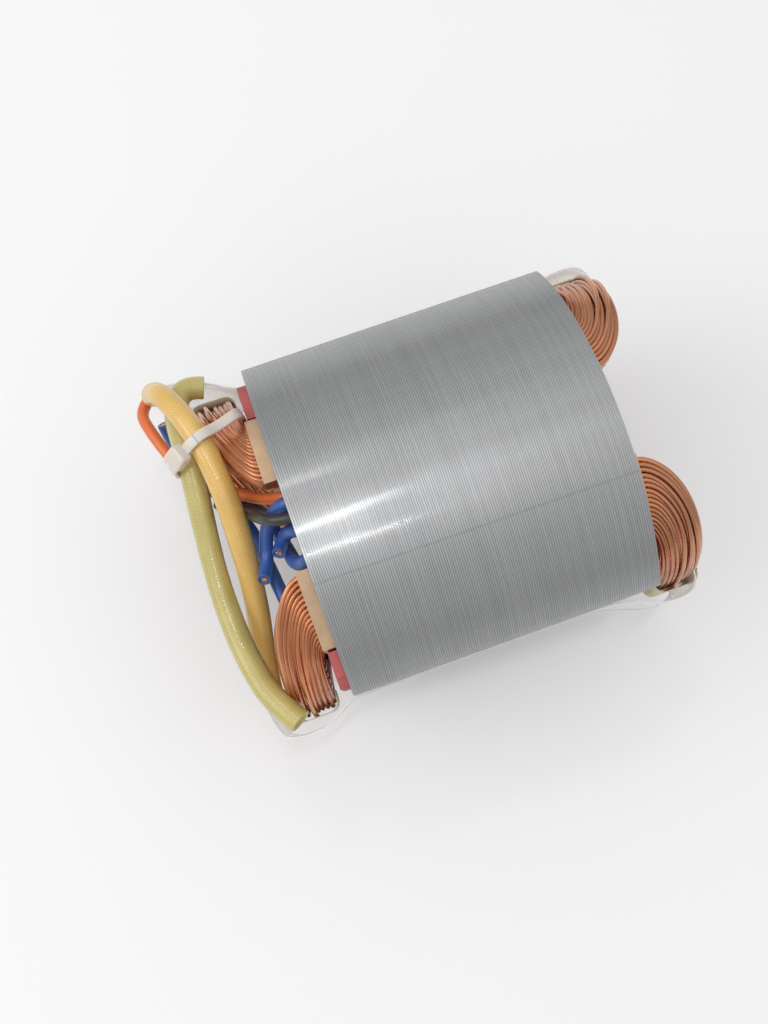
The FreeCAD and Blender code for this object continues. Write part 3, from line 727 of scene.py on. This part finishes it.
def winding_paths(columns, layers, s, plan, rng, rides, lead_full):
    """Closed centre lines of the chosen wires, (wires, rows, 3).

    Odd columns sink half a layer towards the middle of the end turn, so the wires nest as the coil narrows.
    rides is how far a wire of the outer layer strays over its neighbours there, in columns, and lead_full is
    the bulge at the lead end, where the sleeves press on the wires.
    """
    t, up, end, along = plan.T
    inset = s.wire / 2.0 / (SLOT_WIDTH * MM)
    settle = t * t * (3.0 - 2.0 * t)
    odd = (columns % 2)[:, None]
    w = (layers[:, None] + 0.5 + 0.5 * odd * settle) / (s.layers + 0.5 * settle)
    pitch = (1.0 - 2.0 * inset) / (s.columns - 1)
    over = np.sin(math.pi * np.where(up > 0, t, 2.0 - t) / 2.0) ** 2
    shift = rides[:, None] * over * np.where(end > 0, 0.55, 1.5)
    u = np.clip(inset + pitch * (columns[:, None] + shift), inset, 1.0 - inset)
    full = np.broadcast_to(np.where(end > 0, lead_full, 1.0), u.shape)
    here = wire_place(u, w, np.broadcast_to(t, u.shape), full)
    x = here[..., 0] * end
    inner = ~np.isnan(along)
    x[:, inner] = (here[..., 0] * end * (1.0 - 2.0 * along))[:, inner]
    path = np.stack([x, here[..., 1], here[..., 2] * up], -1)
    lifted = np.clip(np.abs(shift) * 1.4, 0.0, 1.0) * s.wire * 0.95 * (layers[:, None] < 1)
    out = np.stack([np.zeros_like(x) - 0.35 * end, np.full_like(x, 0.94), np.zeros_like(x)], -1)
    path = path + out * lifted[..., None]
    turns = np.linspace(0.0, 2.0 * math.pi, len(plan), endpoint=False)
    wander = np.zeros(path.shape)
    for k in WAVES:
        phase = rng.random((len(columns), 1, 3)) * 2.0 * math.pi
        wander = wander + np.sin(k * turns[None, :, None] + phase) / k ** 0.6
    free = np.where(inner, 0.35, 0.35 + 0.65 * settle)[None, :, None]
    path = path + wander * free * s.stray * 0.28
    for _ in range(3):
        path = 0.5 * path + 0.25 * (np.roll(path, 1, 1) + np.roll(path, -1, 1))
    return path


def winding_points(s, side, seed, skin, lead_full):
    """One coil's wires and a tone for each. side is +1 for the upper pole; skin picks the wires that show."""
    rng = np.random.default_rng(seed)
    column, layer = (v.ravel() for v in np.meshgrid(np.arange(s.columns), np.arange(s.layers), indexing="ij"))
    shows = (column == 0) | (column >= s.columns - 2) | (layer == 0) | (layer == s.layers - 1)
    pick = shows if skin else ~shows
    column, layer = column[pick], layer[pick]
    rides = np.where(layer == 0, rng.choice(RIDES, len(layer)), 0.0)
    plan, sides = (loop_schedule(30, 12), 10) if skin else (loop_schedule(10, 2), 5)
    path = winding_paths(column, layer, s, plan, rng, rides, lead_full)
    path[..., 1] *= side
    reference = np.broadcast_to(np.array([0.0, 1.0, 0.0]), path.shape)
    return rings_round(path, reference, s.wire / 2.0, sides), rng.random((len(column), 1, 1)) ** 0.8


# ---- films and cable tie ---------------------------------------------------------------------------------
# Lines of the films and papers as (x, y) in mm, for the upper side; FILM_ENDS gives each film's side too.
FILM_ENDS = {
    "film_wrap_upper": (1.0, [(50.9, 27.5), (51.0, 35.0), (49.4, 40.2), (43.5, 40.9), (36.5, 39.6),
                              (29.0, 37.9), (20.0, 37.8), (-34.0, 37.8), (-38.5, 39.0), (-43.0, 42.0),
                              (-48.5, 44.0), (-53.6, 45.0), (-57.2, 44.4)]),
    "film_wrap_lower": (-1.0, [(47.6, 35.6), (47.4, 39.6), (44.6, 41.6), (38.6, 41.5), (32.5, 38.9),
                               (26.5, 37.7), (14.0, 37.8), (-34.0, 37.8), (-38.6, 39.4), (-43.2, 42.0),
                               (-49.8, 42.4), (-53.8, 40.6), (-54.6, 33.0)]),
}
PAPER_LINE, PAPER_ROUND = [(39.1, 34.8), (39.1, 39.3), (49.9, 39.3), (49.9, 34.0), (49.6, 31.8)], 2.8
FREE_FROM, FREE_OVER, FREE_MIDDLE = 36.0 * MM, 6.0 * MM, -2.0 * MM   # slack film past the ends
LONG_RIPPLE, SHORT_RIPPLE = 7.0 * MM, 3.1 * MM
# The tie's line as (along, up) in its own upright plane, in mm, and where that plane stands.
TIE_LINE = [(8.3, -1.4), (8.3, 5.2), (2.2, 6.8), (-1.4, 10.0), (-4.4, 9.8), (-11.1, 2.8), (-11.1, -3.4),
            (-7.4, -5.4), (-3.6, -4.8)]
TIE_AT, TIE_ALONG, TIE_ROUND, TIE_HEAD_SIDE = (-46.0, 25.9, 22.0), (0.934, 0.355, 0.0), 1.9, 4
STRAP_SQUARE, HEAD_SQUARE = 0.45, 0.34      # powers of the superellipses


def ribbon(line, section):
    """Section carried along a flat line: line + left normal * section[0], at height section[1].

    line is (rows, 2), section (columns, 2) or one section per row, and the points are (1, rows, columns, 3).
    """
    ahead = unit(np.gradient(line, axis=0))
    left = np.stack([-ahead[:, 1], ahead[:, 0]], 1)
    section = np.broadcast_to(section, (len(line), *np.shape(section)[-2:]))
    flat = line[:, None] + left[:, None] * section[..., :1]
    return np.concatenate([flat, section[..., 1:]], -1)[None]


def round_corners(points, radius, steps=7):
    """Line through the points whose inner corners are cut back by the radius and bridged by a parabola."""
    points = np.asarray(points, float)
    corner = points[1:-1]
    back, on = unit(points[:-2] - corner), unit(points[2:] - corner)
    t = np.linspace(0.0, 1.0, steps)[None, :, None]
    a, b, c = (v[:, None] for v in (corner + back * radius, corner, corner + on * radius))
    bends = (a * (1 - t) ** 2 + 2 * b * t * (1 - t) + c * t * t).reshape(-1, 2)
    return np.concatenate([points[:1], bends, points[-1:]])


def paper_points(end, side, s):
    """Cream strip round one coil end, its outer corners rounded by a parabola."""
    line = round_corners(PAPER_LINE, PAPER_ROUND, 10) * MM
    h = s.paper_half
    section = np.array([[0.5, -h], [0.5, 0.0], [0.5, h], [-0.5, h], [-0.5, 0.0], [-0.5, -h]])
    return ribbon(line, section * [s.paper_thickness, 1.0]) * np.array([end, side, 1.0])


def film_points(points, side, s, seed):
    """Standing film: a smooth line swept by a thin tall loop, gently uneven past the stack's ends."""
    rng = np.random.default_rng(seed)
    route = smooth_route([(x, y, 0.0) for x, y in points])[:, :2]
    reach = distances(route)
    along = np.linspace(0.0, reach[-1], 320)
    line = read_at(along, reach, route)
    up = np.linspace(-1.0, 1.0, 13)
    loop = np.concatenate([np.stack([np.full(13, 0.5), up], 1), np.stack([np.full(13, -0.5), up[::-1]], 1)])
    free = np.clip((np.abs(line[:, :1] - FREE_MIDDLE) - FREE_FROM) / FREE_OVER, 0.0, 1.0)
    wave = np.sin(along / LONG_RIPPLE + rng.random() * 6.0) + 0.6 * np.sin(along / SHORT_RIPPLE)
    wave = wave[:, None]
    ripple = free * wave * (0.2 + 0.25 * loop[None, :, 1]) * 0.3 * MM
    height = s.film_half * (1.0 + 0.012 * free * wave) * loop[None, :, 1] * np.ones_like(ripple)
    made = ribbon(line, np.stack([s.film_thickness * loop[None, :, 0] + ripple, height], -1))
    made[..., 1] *= side
    return made


def rounded_square(a, power):
    """Superellipse: cos and sin of the angle, each raised to a power that keeps its sign."""
    c, d = np.cos(a), np.sin(a)
    return np.stack([np.sign(c) * np.abs(c) ** power, np.sign(d) * np.abs(d) ** power], -1)


def stand_up(points):
    """From the tie's own plane to its place: first axis along the tie, second up, third square to both."""
    along = unit(np.array(TIE_ALONG))
    up = np.array([0.0, 0.0, 1.0])
    return points @ np.stack([along, up, np.cross(along, up)]) + np.array(TIE_AT) * MM


def strap_points(s):
    """Strap: the tie's line with round corners, swept by a flat superellipse."""
    route = round_corners(TIE_LINE, TIE_ROUND) * MM
    reach = distances(route)
    line = read_at(np.linspace(0.0, reach[-1], 150), reach, route)
    for _ in range(6):
        line[1:-1] = 0.5 * line[1:-1] + 0.25 * (line[2:] + line[:-2])
    section = rounded_square(circle_angles(20), STRAP_SQUARE)
    return stand_up(ribbon(line, section * np.array([s.strap_thickness, s.strap_width]) / 2.0))


def head_points(s):
    """Tie head: a superellipsoid, boxy with soft edges, on the side of the strap's line that carries it."""
    before, after = (np.array(p) * MM for p in TIE_LINE[TIE_HEAD_SIDE:TIE_HEAD_SIDE + 2])
    run = unit(before - after)
    across = np.array([-run[1], run[0]])
    middle = (before + after) / 2.0 + across * (s.head_depth - s.strap_thickness) / 2.0
    lat = rounded_square(np.linspace(-math.pi / 2, math.pi / 2, 26)[1:-1], HEAD_SQUARE)
    ring = rounded_square(circle_angles(48), HEAD_SQUARE)
    wide = lat[:, None, 0] * ring[None, :, 0] * s.head_width / 2.0
    long = lat[:, None, 0] * ring[None, :, 1] * s.head_length / 2.0
    deep = lat[:, None, 1] * s.head_depth / 2.0
    flat = middle + long[..., None] * run + (deep * np.ones_like(long))[..., None] * across
    return stand_up(np.concatenate([flat, wide[..., None]], -1))[None]


# ---- sleeves and leads -----------------------------------------------------------------------------------
WEAVE_DEPTH, SLEEVE_WOBBLE, SLEEVE_OVAL = 0.05 * MM, 0.06 * MM, 0.12 * MM
LEAD_WOBBLE = ((0.012, 5.0 * MM), (0.008, 1.7 * MM))       # share of the radius, and length over a radian
SOCKET_DEPTH = 3.0 * MM
STRAND_ROWS = ((2.6, 1.0), (0.1, 1.0), (0.02, 0.85), (0.02, 0.3))   # depth in mm, share of the radius


def sleeve_points(route, s, seed):
    """Braided tube: radius + braid height + slow wobble, folded inwards at both mouths."""
    rng = np.random.default_rng(seed)
    whole = distances(route)[-1]
    rows, sides = 540, 120
    radius, hole = s.sleeve / 2.0, s.sleeve / 2.0 - s.sleeve_wall
    along = np.linspace(0.0, whole, rows)
    v = np.arange(sides)[None] / sides
    stitches = along[:, None] / s.braid
    one, other = (np.sin(math.pi * (s.carriers * v + stitches * way)) for way in (1.0, -1.0))
    crown = np.where(one * other > 0, np.abs(one), np.abs(other))
    phase = rng.random(3) * 6.28
    slow = np.sin(along / (9.0 * MM) + phase[0]) + np.sin(along / (4.0 * MM) + phase[1]) * 0.5
    oval = np.cos(4.0 * math.pi * v + phase[2]) * np.sin(along[:, None] / (16.0 * MM))
    body = radius - WEAVE_DEPTH + WEAVE_DEPTH * crown + SLEEVE_WOBBLE * slow[:, None] + SLEEVE_OVAL * oval
    mouth = np.array([s.mouth, 0.02 * MM, 0.0])
    ring = np.array([hole, hole, radius - 0.15 * MM])[:, None] + np.zeros((1, sides))
    stations = np.concatenate([mouth, along[1:-1], whole - mouth[::-1]])
    radii = np.concatenate([ring, body[1:-1], ring[::-1]])
    return sweep(route, stations, radii, sides)


def lead_points(route, diameter, s, open_end, seed):
    """Smooth insulated wire with rounded ends, its last end hollow where the bare strands show."""
    rng = np.random.default_rng(seed)
    whole, r = distances(route)[-1], diameter / 2.0
    along = np.linspace(0.3 * MM, whole - 0.12 * MM, 110)
    phase = rng.random(2) * 6.28
    wobble = sum(share * np.sin(along / over + p) for (share, over), p in zip(LEAD_WOBBLE, phase))
    tip = [(whole, 0.95 * r), (whole, 0.9 * r)]
    if open_end:
        hole = s.core / 2.0 + 0.05 * MM
        tip += [(whole, hole * 1.04), (whole - 0.1 * MM, hole), (whole - SOCKET_DEPTH, hole)]
    tip_at, tip_radius = zip(*tip)
    stations = np.concatenate([[0.0, 0.08 * MM], along, tip_at])
    radii = np.concatenate([[0.75 * r, 0.93 * r], r * (1.0 + wobble) - 0.02 * MM, tip_radius])
    return sweep(route, stations, radii, 28)


def strand_points(route, s):
    """Seven bare strands side by side at the cut end of a lead: one in the middle and six round it."""
    route = without_repeats(route)
    ahead = unit(route[-1] - route[-4])
    across = unit(np.cross(ahead, (0.0, 0.0, 1.0)))
    up = np.cross(ahead, across)
    r = s.core / 6.0
    six = circle_angles(6)[:, None]
    places = np.concatenate([np.zeros((1, 2)), 2.0 * r * np.concatenate([np.cos(six), np.sin(six)], 1)])
    depth, size = np.array(STRAND_ROWS).T * [[MM], [r]]
    a = circle_angles(10)[:, None]
    middle = route[-1] + places[:, :1] * across + places[:, 1:] * up
    circle = np.cos(a) * across + np.sin(a) * up
    return middle[:, None, None] - depth[None, :, None, None] * ahead + size[None, :, None, None] * circle


# Routes in mm, as the points that pull on a smooth curve.
SLEEVES = {
    "sleeve_green": ("green", [
        (-44.6, 40.8, 13.2), (-47.7, 41.9, 13.8), (-50.7, 40.4, 14.6), (-52.3, 36.6, 16.2),
        (-52.7, 31.0, 19.0), (-52.4, 24.5, 21.2), (-53.4, 15.5, 19.0), (-54.9, 5.0, 15.0),
        (-55.7, -6.0, 12.8), (-55.4, -16.5, 12.2), (-54.2, -25.0, 13.0), (-52.2, -32.5, 14.0),
        (-48.0, -39.0, 15.2)]),
    "sleeve_orange": ("amber", [
        (-56.0, 42.6, 14.6), (-54.5, 41.0, 21.4), (-51.4, 35.0, 26.4), (-48.2, 25.4, 28.6),
        (-47.0, 14.6, 26.5), (-47.2, 4.4, 21.0), (-48.5, -6.4, 12.6), (-50.2, -15.0, 7.0),
        (-52.4, -23.5, 3.5), (-53.2, -31.5, 2.2)]),
}
LEADS = {
    "orange_lead": [
        (-55.25, 41.75, 18.2), (-56.2, 42.9, 12.8), (-57.0, 44.2, 8.6), (-59.2, 43.8, 6.4),
        (-60.8, 40.6, 8.4), (-59.9, 36.4, 10.4), (-57.6, 28.8, 10.8), (-53.6, 21.4, 12.2),
        (-48.4, 16.2, 15.0), (-43.9, 12.9, 18.0), (-38.6, 8.9, 22.2), (-34.6, 7.5, 27.6),
        (-27.0, 7.1, 28.6)],
    "black_lead_outer": [
        (-55.2, 22.2, 6.2), (-50.2, 17.2, 8.4), (-44.6, 12.2, 11.2), (-40.6, 8.0, 14.9),
        (-38.0, 4.0, 21.6), (-34.7, 3.2, 28.6), (-26.0, 3.2, 29.2)],
    "black_lead_inner": [
        (-50.3, 13.6, 14.6), (-44.2, 9.1, 17.6), (-41.8, 4.6, 28.9), (-37.4, 1.6, 33.3),
        (-29.0, 1.0, 34.2)],
    "blue_lead_1": [
        (-27.0, 6.0, 32.8), (-34.0, 5.4, 32.3), (-38.4, 5.1, 28.0), (-41.7, 2.7, 20.2),
        (-43.4, -2.6, 15.6), (-45.3, -7.2, 19.2)],
    "blue_lead_2": [
        (-27.0, -0.6, 29.6), (-33.4, -0.6, 28.6), (-36.8, 0.4, 25.3), (-38.3, 0.4, 19.2),
        (-40.3, -3.1, 21.9)],
    "blue_lead_3": [
        (-41.1, -24.95, 10.6), (-42.8, -12.6, 10.6), (-43.8, -3.6, 9.0), (-45.0, 7.0, 6.6),
        (-49.8, 17.6, 3.2), (-54.2, 27.6, 3.4), (-56.2, 33.4, 4.8), (-56.6, 37.4, 7.4)],
    "blue_lead_4": [
        (-27.0, -7.0, 30.6), (-33.8, -7.2, 29.6), (-37.6, -7.2, 23.2), (-38.4, -1.0, 14.0),
        (-41.0, 7.4, 9.6), (-44.6, 15.6, 7.0)],
}
# These end in a clean cut that shows their strands.
CUT_LEADS = ("blue_lead_1", "blue_lead_2", "blue_lead_3")


# ---- operators -------------------------------------------------------------------------------------------
# Lamps: place, size, power setting and the share of it, the point that it faces.
LAMPS = {
    "ceiling_strip_1": ((-0.01, 0.02, 0.95), (0.14, 0.014), "strips", 1.0, (0.0, 0.0, 0.04)),
    "ceiling_strip_2": ((-0.01, -0.23, 0.95), (0.14, 0.014), "strips", 0.8, (0.0, 0.0, 0.04)),
    "ceiling_strip_3": ((-0.04, 0.48, 0.95), (0.10, 0.06), "strips", 0.4, (0.0, 0.0, 0.04)),
    "side_light": ((-0.65, 0.18, 0.55), (0.5, 0.5), "side", 1.0, (0.0, 0.0, 0.0)),
}
CAMERA_AT, FOCAL_LENGTH, SENSOR_WIDTH = (-0.031103, -0.039345, 0.270194), 40.04, 36.0
CAMERA_RIGHT = (0.94217097, -0.33501144, 0.00901107)
CAMERA_DOWN = (-0.32930875, -0.9304543, -0.16065657)
CAMERA_AHEAD = (0.06220617, 0.14839853, -0.98696923)
FLOOR_HALF, FADE_FROM, FADE_TO, FAR_WHITE = 3.0, 0.22, 1.3, 0.96


class FIELD_OT_stage(bpy.types.Operator):
    """Set the floor, the surround, the lamps and the camera"""
    bl_idname = "field.stage"
    bl_label = "Stage"

    def execute(self, context):
        s, scene = context.scene.field_stage, context.scene
        scene.view_settings.view_transform = "Standard"
        self.lay_floor(s)
        scene.world = self.surround(s)
        for name, (at, extent, power, share, target) in LAMPS.items():
            lamp = bpy.data.lights.new(name, "AREA")
            lamp.shape = "RECTANGLE"
            lamp.size, lamp.size_y = extent
            lamp.energy = share * getattr(s, power)
            turn = (Vector(target) - Vector(at)).normalized().to_track_quat("-Z", "Y")
            put(name, lamp).matrix_world = Matrix.Translation(at) @ turn.to_matrix().to_4x4()
        camera = bpy.data.cameras.new("camera")
        camera.lens, camera.sensor_width, camera.clip_start = FOCAL_LENGTH, SENSOR_WIDTH, 0.01
        turn = Matrix([[CAMERA_RIGHT[k], -CAMERA_DOWN[k], -CAMERA_AHEAD[k]] for k in range(3)]).to_4x4()
        scene.camera = put("camera", camera)
        scene.camera.matrix_world = Matrix.Translation(CAMERA_AT) @ turn
        return {"FINISHED"}

    def lay_floor(self, s):
        """Pale floor at the part's lowest point, which fades to white far out, for the camera only."""
        size, low = FLOOR_HALF, cad_box[0][2]
        spots = np.array([[-size, -size, low], [size, -size, low], [-size, size, low], [size, size, low]])
        floor = put("floor", surface("floor", spots.reshape(1, 2, 2, 3), wrap_columns=False))
        made, tree, shader, where = start("floor")
        grain = grain_on(tree, where["Object"], 60.0, 6.0)
        tone = s.floor_tone
        base = blend(tree, grain["Patches"], (tone, tone, tone), (tone * 0.97, tone * 0.97, tone * 0.975))
        out = node(tree, "ShaderNodeVectorMath", {0: where["Object"]}, operation="LENGTH").outputs["Value"]
        ray = node(tree, "ShaderNodeLightPath").outputs["Is Camera Ray"]
        far = maths(tree, "MULTIPLY", spread(tree, out, FADE_FROM, FADE_TO), ray)
        base = blend(tree, far, base, (0.0, 0.0, 0.0))
        glow = blend(tree, far, (0.0, 0.0, 0.0), (FAR_WHITE, FAR_WHITE, FAR_WHITE))
        tree.links.new(glow, shader.inputs["Emission Color"])
        finish(tree, shader, base, 0.65, Emission_Strength=1.0)
        floor.data.materials.append(made)

    def surround(self, s):
        """Soft light from all round, brighter above. The camera, also through the film, sees plain white."""
        world = bpy.data.worlds.new("surround")
        world.use_nodes = True
        tree = world.node_tree
        sky = tree.nodes["Background"]
        sky.inputs["Color"].default_value = (1.0, 1.0, 1.0, 1.0)
        height = coordinate(tree, node(tree, "ShaderNodeTexCoord").outputs["Generated"], 2)
        light = spread(tree, height, 0.0, 0.8, s.horizon, s.sky)
        rays = node(tree, "ShaderNodeLightPath").outputs
        seen = maths(tree, "MAXIMUM", rays["Is Camera Ray"], rays["Is Transmission Ray"])
        feed(tree, sky.inputs["Strength"], node(tree, "ShaderNodeMix", {0: seen, 2: light, 3: 1.0}).outputs[0])
        return world


class FIELD_OT_laminations(bpy.types.Operator):
    """Add the sheets' edges outside and inside, and give the stack its steel"""
    bl_idname = "field.laminations"
    bl_label = "Laminations"

    def execute(self, context):
        s = context.scene.field_stack
        dress(["lamination_stack"], "steel")
        outside = sheet_edges(outer_profile(s), s, True, CROWN_FINE, 3)
        inside = sheet_edges(window_profile(s), s, False, CROWN_PLAIN, 4)
        piece("sheet_edges_outside", outside, "steel", "lamination_steel")
        piece("sheet_edges_inside", inside, "steel", "lamination_steel", inside_out=True)
        return {"FINISHED"}


class FIELD_OT_windings(bpy.types.Operator):
    """Wind both coils: the wires that show, and the plainer ones under them"""
    bl_idname = "field.windings"
    bl_label = "Windings"

    def execute(self, context):
        s = context.scene.field_winding
        for name, side, seed, full in (("upper", 1.0, 11, s.full_upper), ("lower", -1.0, 23, s.full_lower)):
            for label, more, skin, replaced in (("winding_", 0, True, ["field_coil_" + name]),
                                                ("winding_core_", 1, False, [])):
                points, tone = winding_points(s, side, seed + more, skin, full)
                piece(label + name, points, "copper", "enamelled_copper", replaced, wrap_rows=True, tone=tone)
        return {"FINISHED"}


class FIELD_OT_insulation(bpy.types.Operator):
    """Finish the liners, pole end plates, papers and films"""
    bl_idname = "field.insulation"
    bl_label = "Insulation"

    def execute(self, context):
        s, names = context.scene.field_sheets, list(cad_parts)
        dress([n for n in names if n.startswith("slot_liner")], "liner")
        dress([n for n in names if n.startswith("end_insulator")], "fibre")
        for side_name, side in (("upper", 1.0), ("lower", -1.0)):
            for end_name, end in (("lead", -1.0), ("plain", 1.0)):
                name = "coil_paper_%s_%s" % (side_name, end_name)
                piece(name + "_strip", paper_points(end, side, s), "cream", "cream_paper", [name],
                      caps=True, inside_out=side * end < 0)
        for seed, (name, (side, points)) in enumerate(FILM_ENDS.items()):
            piece(name + "_sheet", film_points(points, side, s, seed + 51), "film", "clear_film", [name],
                  caps=True, inside_out=side < 0)
        return {"FINISHED"}


class FIELD_OT_sleeves(bpy.types.Operator):
    """Braid the two sleeves over their routes"""
    bl_idname = "field.sleeves"
    bl_label = "Sleeves"

    def execute(self, context):
        s = context.scene.field_leads
        for seed, (name, (finish_name, points)) in enumerate(SLEEVES.items()):
            made = sleeve_points(smooth_route(points), s, seed + 5)
            piece(name + "_braid", made, finish_name, name, [name], caps=True)
        return {"FINISHED"}


class FIELD_OT_leads(bpy.types.Operator):
    """Lay the insulated leads and the strands in their cut ends"""
    bl_idname = "field.leads"
    bl_label = "Leads"

    def execute(self, context):
        s = context.scene.field_leads
        strands = []
        for seed, (name, points) in enumerate(LEADS.items()):
            skin, cut, route = name.split("_")[0], name in CUT_LEADS, smooth_route(points)
            made = lead_points(route, getattr(s, skin), s, cut, seed + 31)
            piece(name + "_skin", made, skin, skin + "_insulation", [name], caps=True)
            if cut:
                strands.append(strand_points(route, s))
        made = np.concatenate(strands)
        piece("lead_strands", made, "strand", "bare_copper", ["lead_conductors"], caps=True)
        return {"FINISHED"}


class FIELD_OT_cable_tie(bpy.types.Operator):
    """Finish the cable tie"""
    bl_idname = "field.cable_tie"
    bl_label = "Cable tie"

    def execute(self, context):
        s = context.scene.field_leads
        piece("tie_strap", strap_points(s), "nylon", "tie_nylon", ["cable_tie"], caps=True)
        piece("tie_head", head_points(s), "nylon", "tie_nylon", caps=True)
        return {"FINISHED"}


class FIELD_PT_panel(bpy.types.Panel):
    """Sizes, colours and pieces of the motor field"""
    bl_idname = "FIELD_PT_panel"
    bl_label = "Motor field"
    bl_space_type = "VIEW_3D"
    bl_region_type = "UI"
    bl_category = "Motor field"

    def draw(self, context):
        for settings in SETTINGS:
            box = self.layout.box()
            group = getattr(context.scene, settings)
            for key in group.__annotations__:
                box.prop(group, key)
        for operator in OPERATORS:
            self.layout.operator(operator.bl_idname)


SETTINGS = {"field_stack": StackSettings, "field_winding": WindingSettings, "field_sheets": SheetSettings,
            "field_leads": LeadSettings, "field_stage": StageSettings}
OPERATORS = (FIELD_OT_stage, FIELD_OT_laminations, FIELD_OT_windings, FIELD_OT_insulation, FIELD_OT_sleeves,
             FIELD_OT_leads, FIELD_OT_cable_tie)


def register():
    for name, group in SETTINGS.items():
        bpy.utils.register_class(group)
        setattr(bpy.types.Scene, name, PointerProperty(type=group))
    for kind in (*OPERATORS, FIELD_PT_panel):
        bpy.utils.register_class(kind)


def unregister():
    for kind in reversed((*OPERATORS, FIELD_PT_panel)):
        bpy.utils.unregister_class(kind)
    for name, group in SETTINGS.items():
        delattr(bpy.types.Scene, name)
        bpy.utils.unregister_class(group)


def main():
    register()
    for operator in OPERATORS:
        getattr(bpy.ops.field, operator.bl_idname.split(".")[1])()


if __name__ == "__main__":
    main()
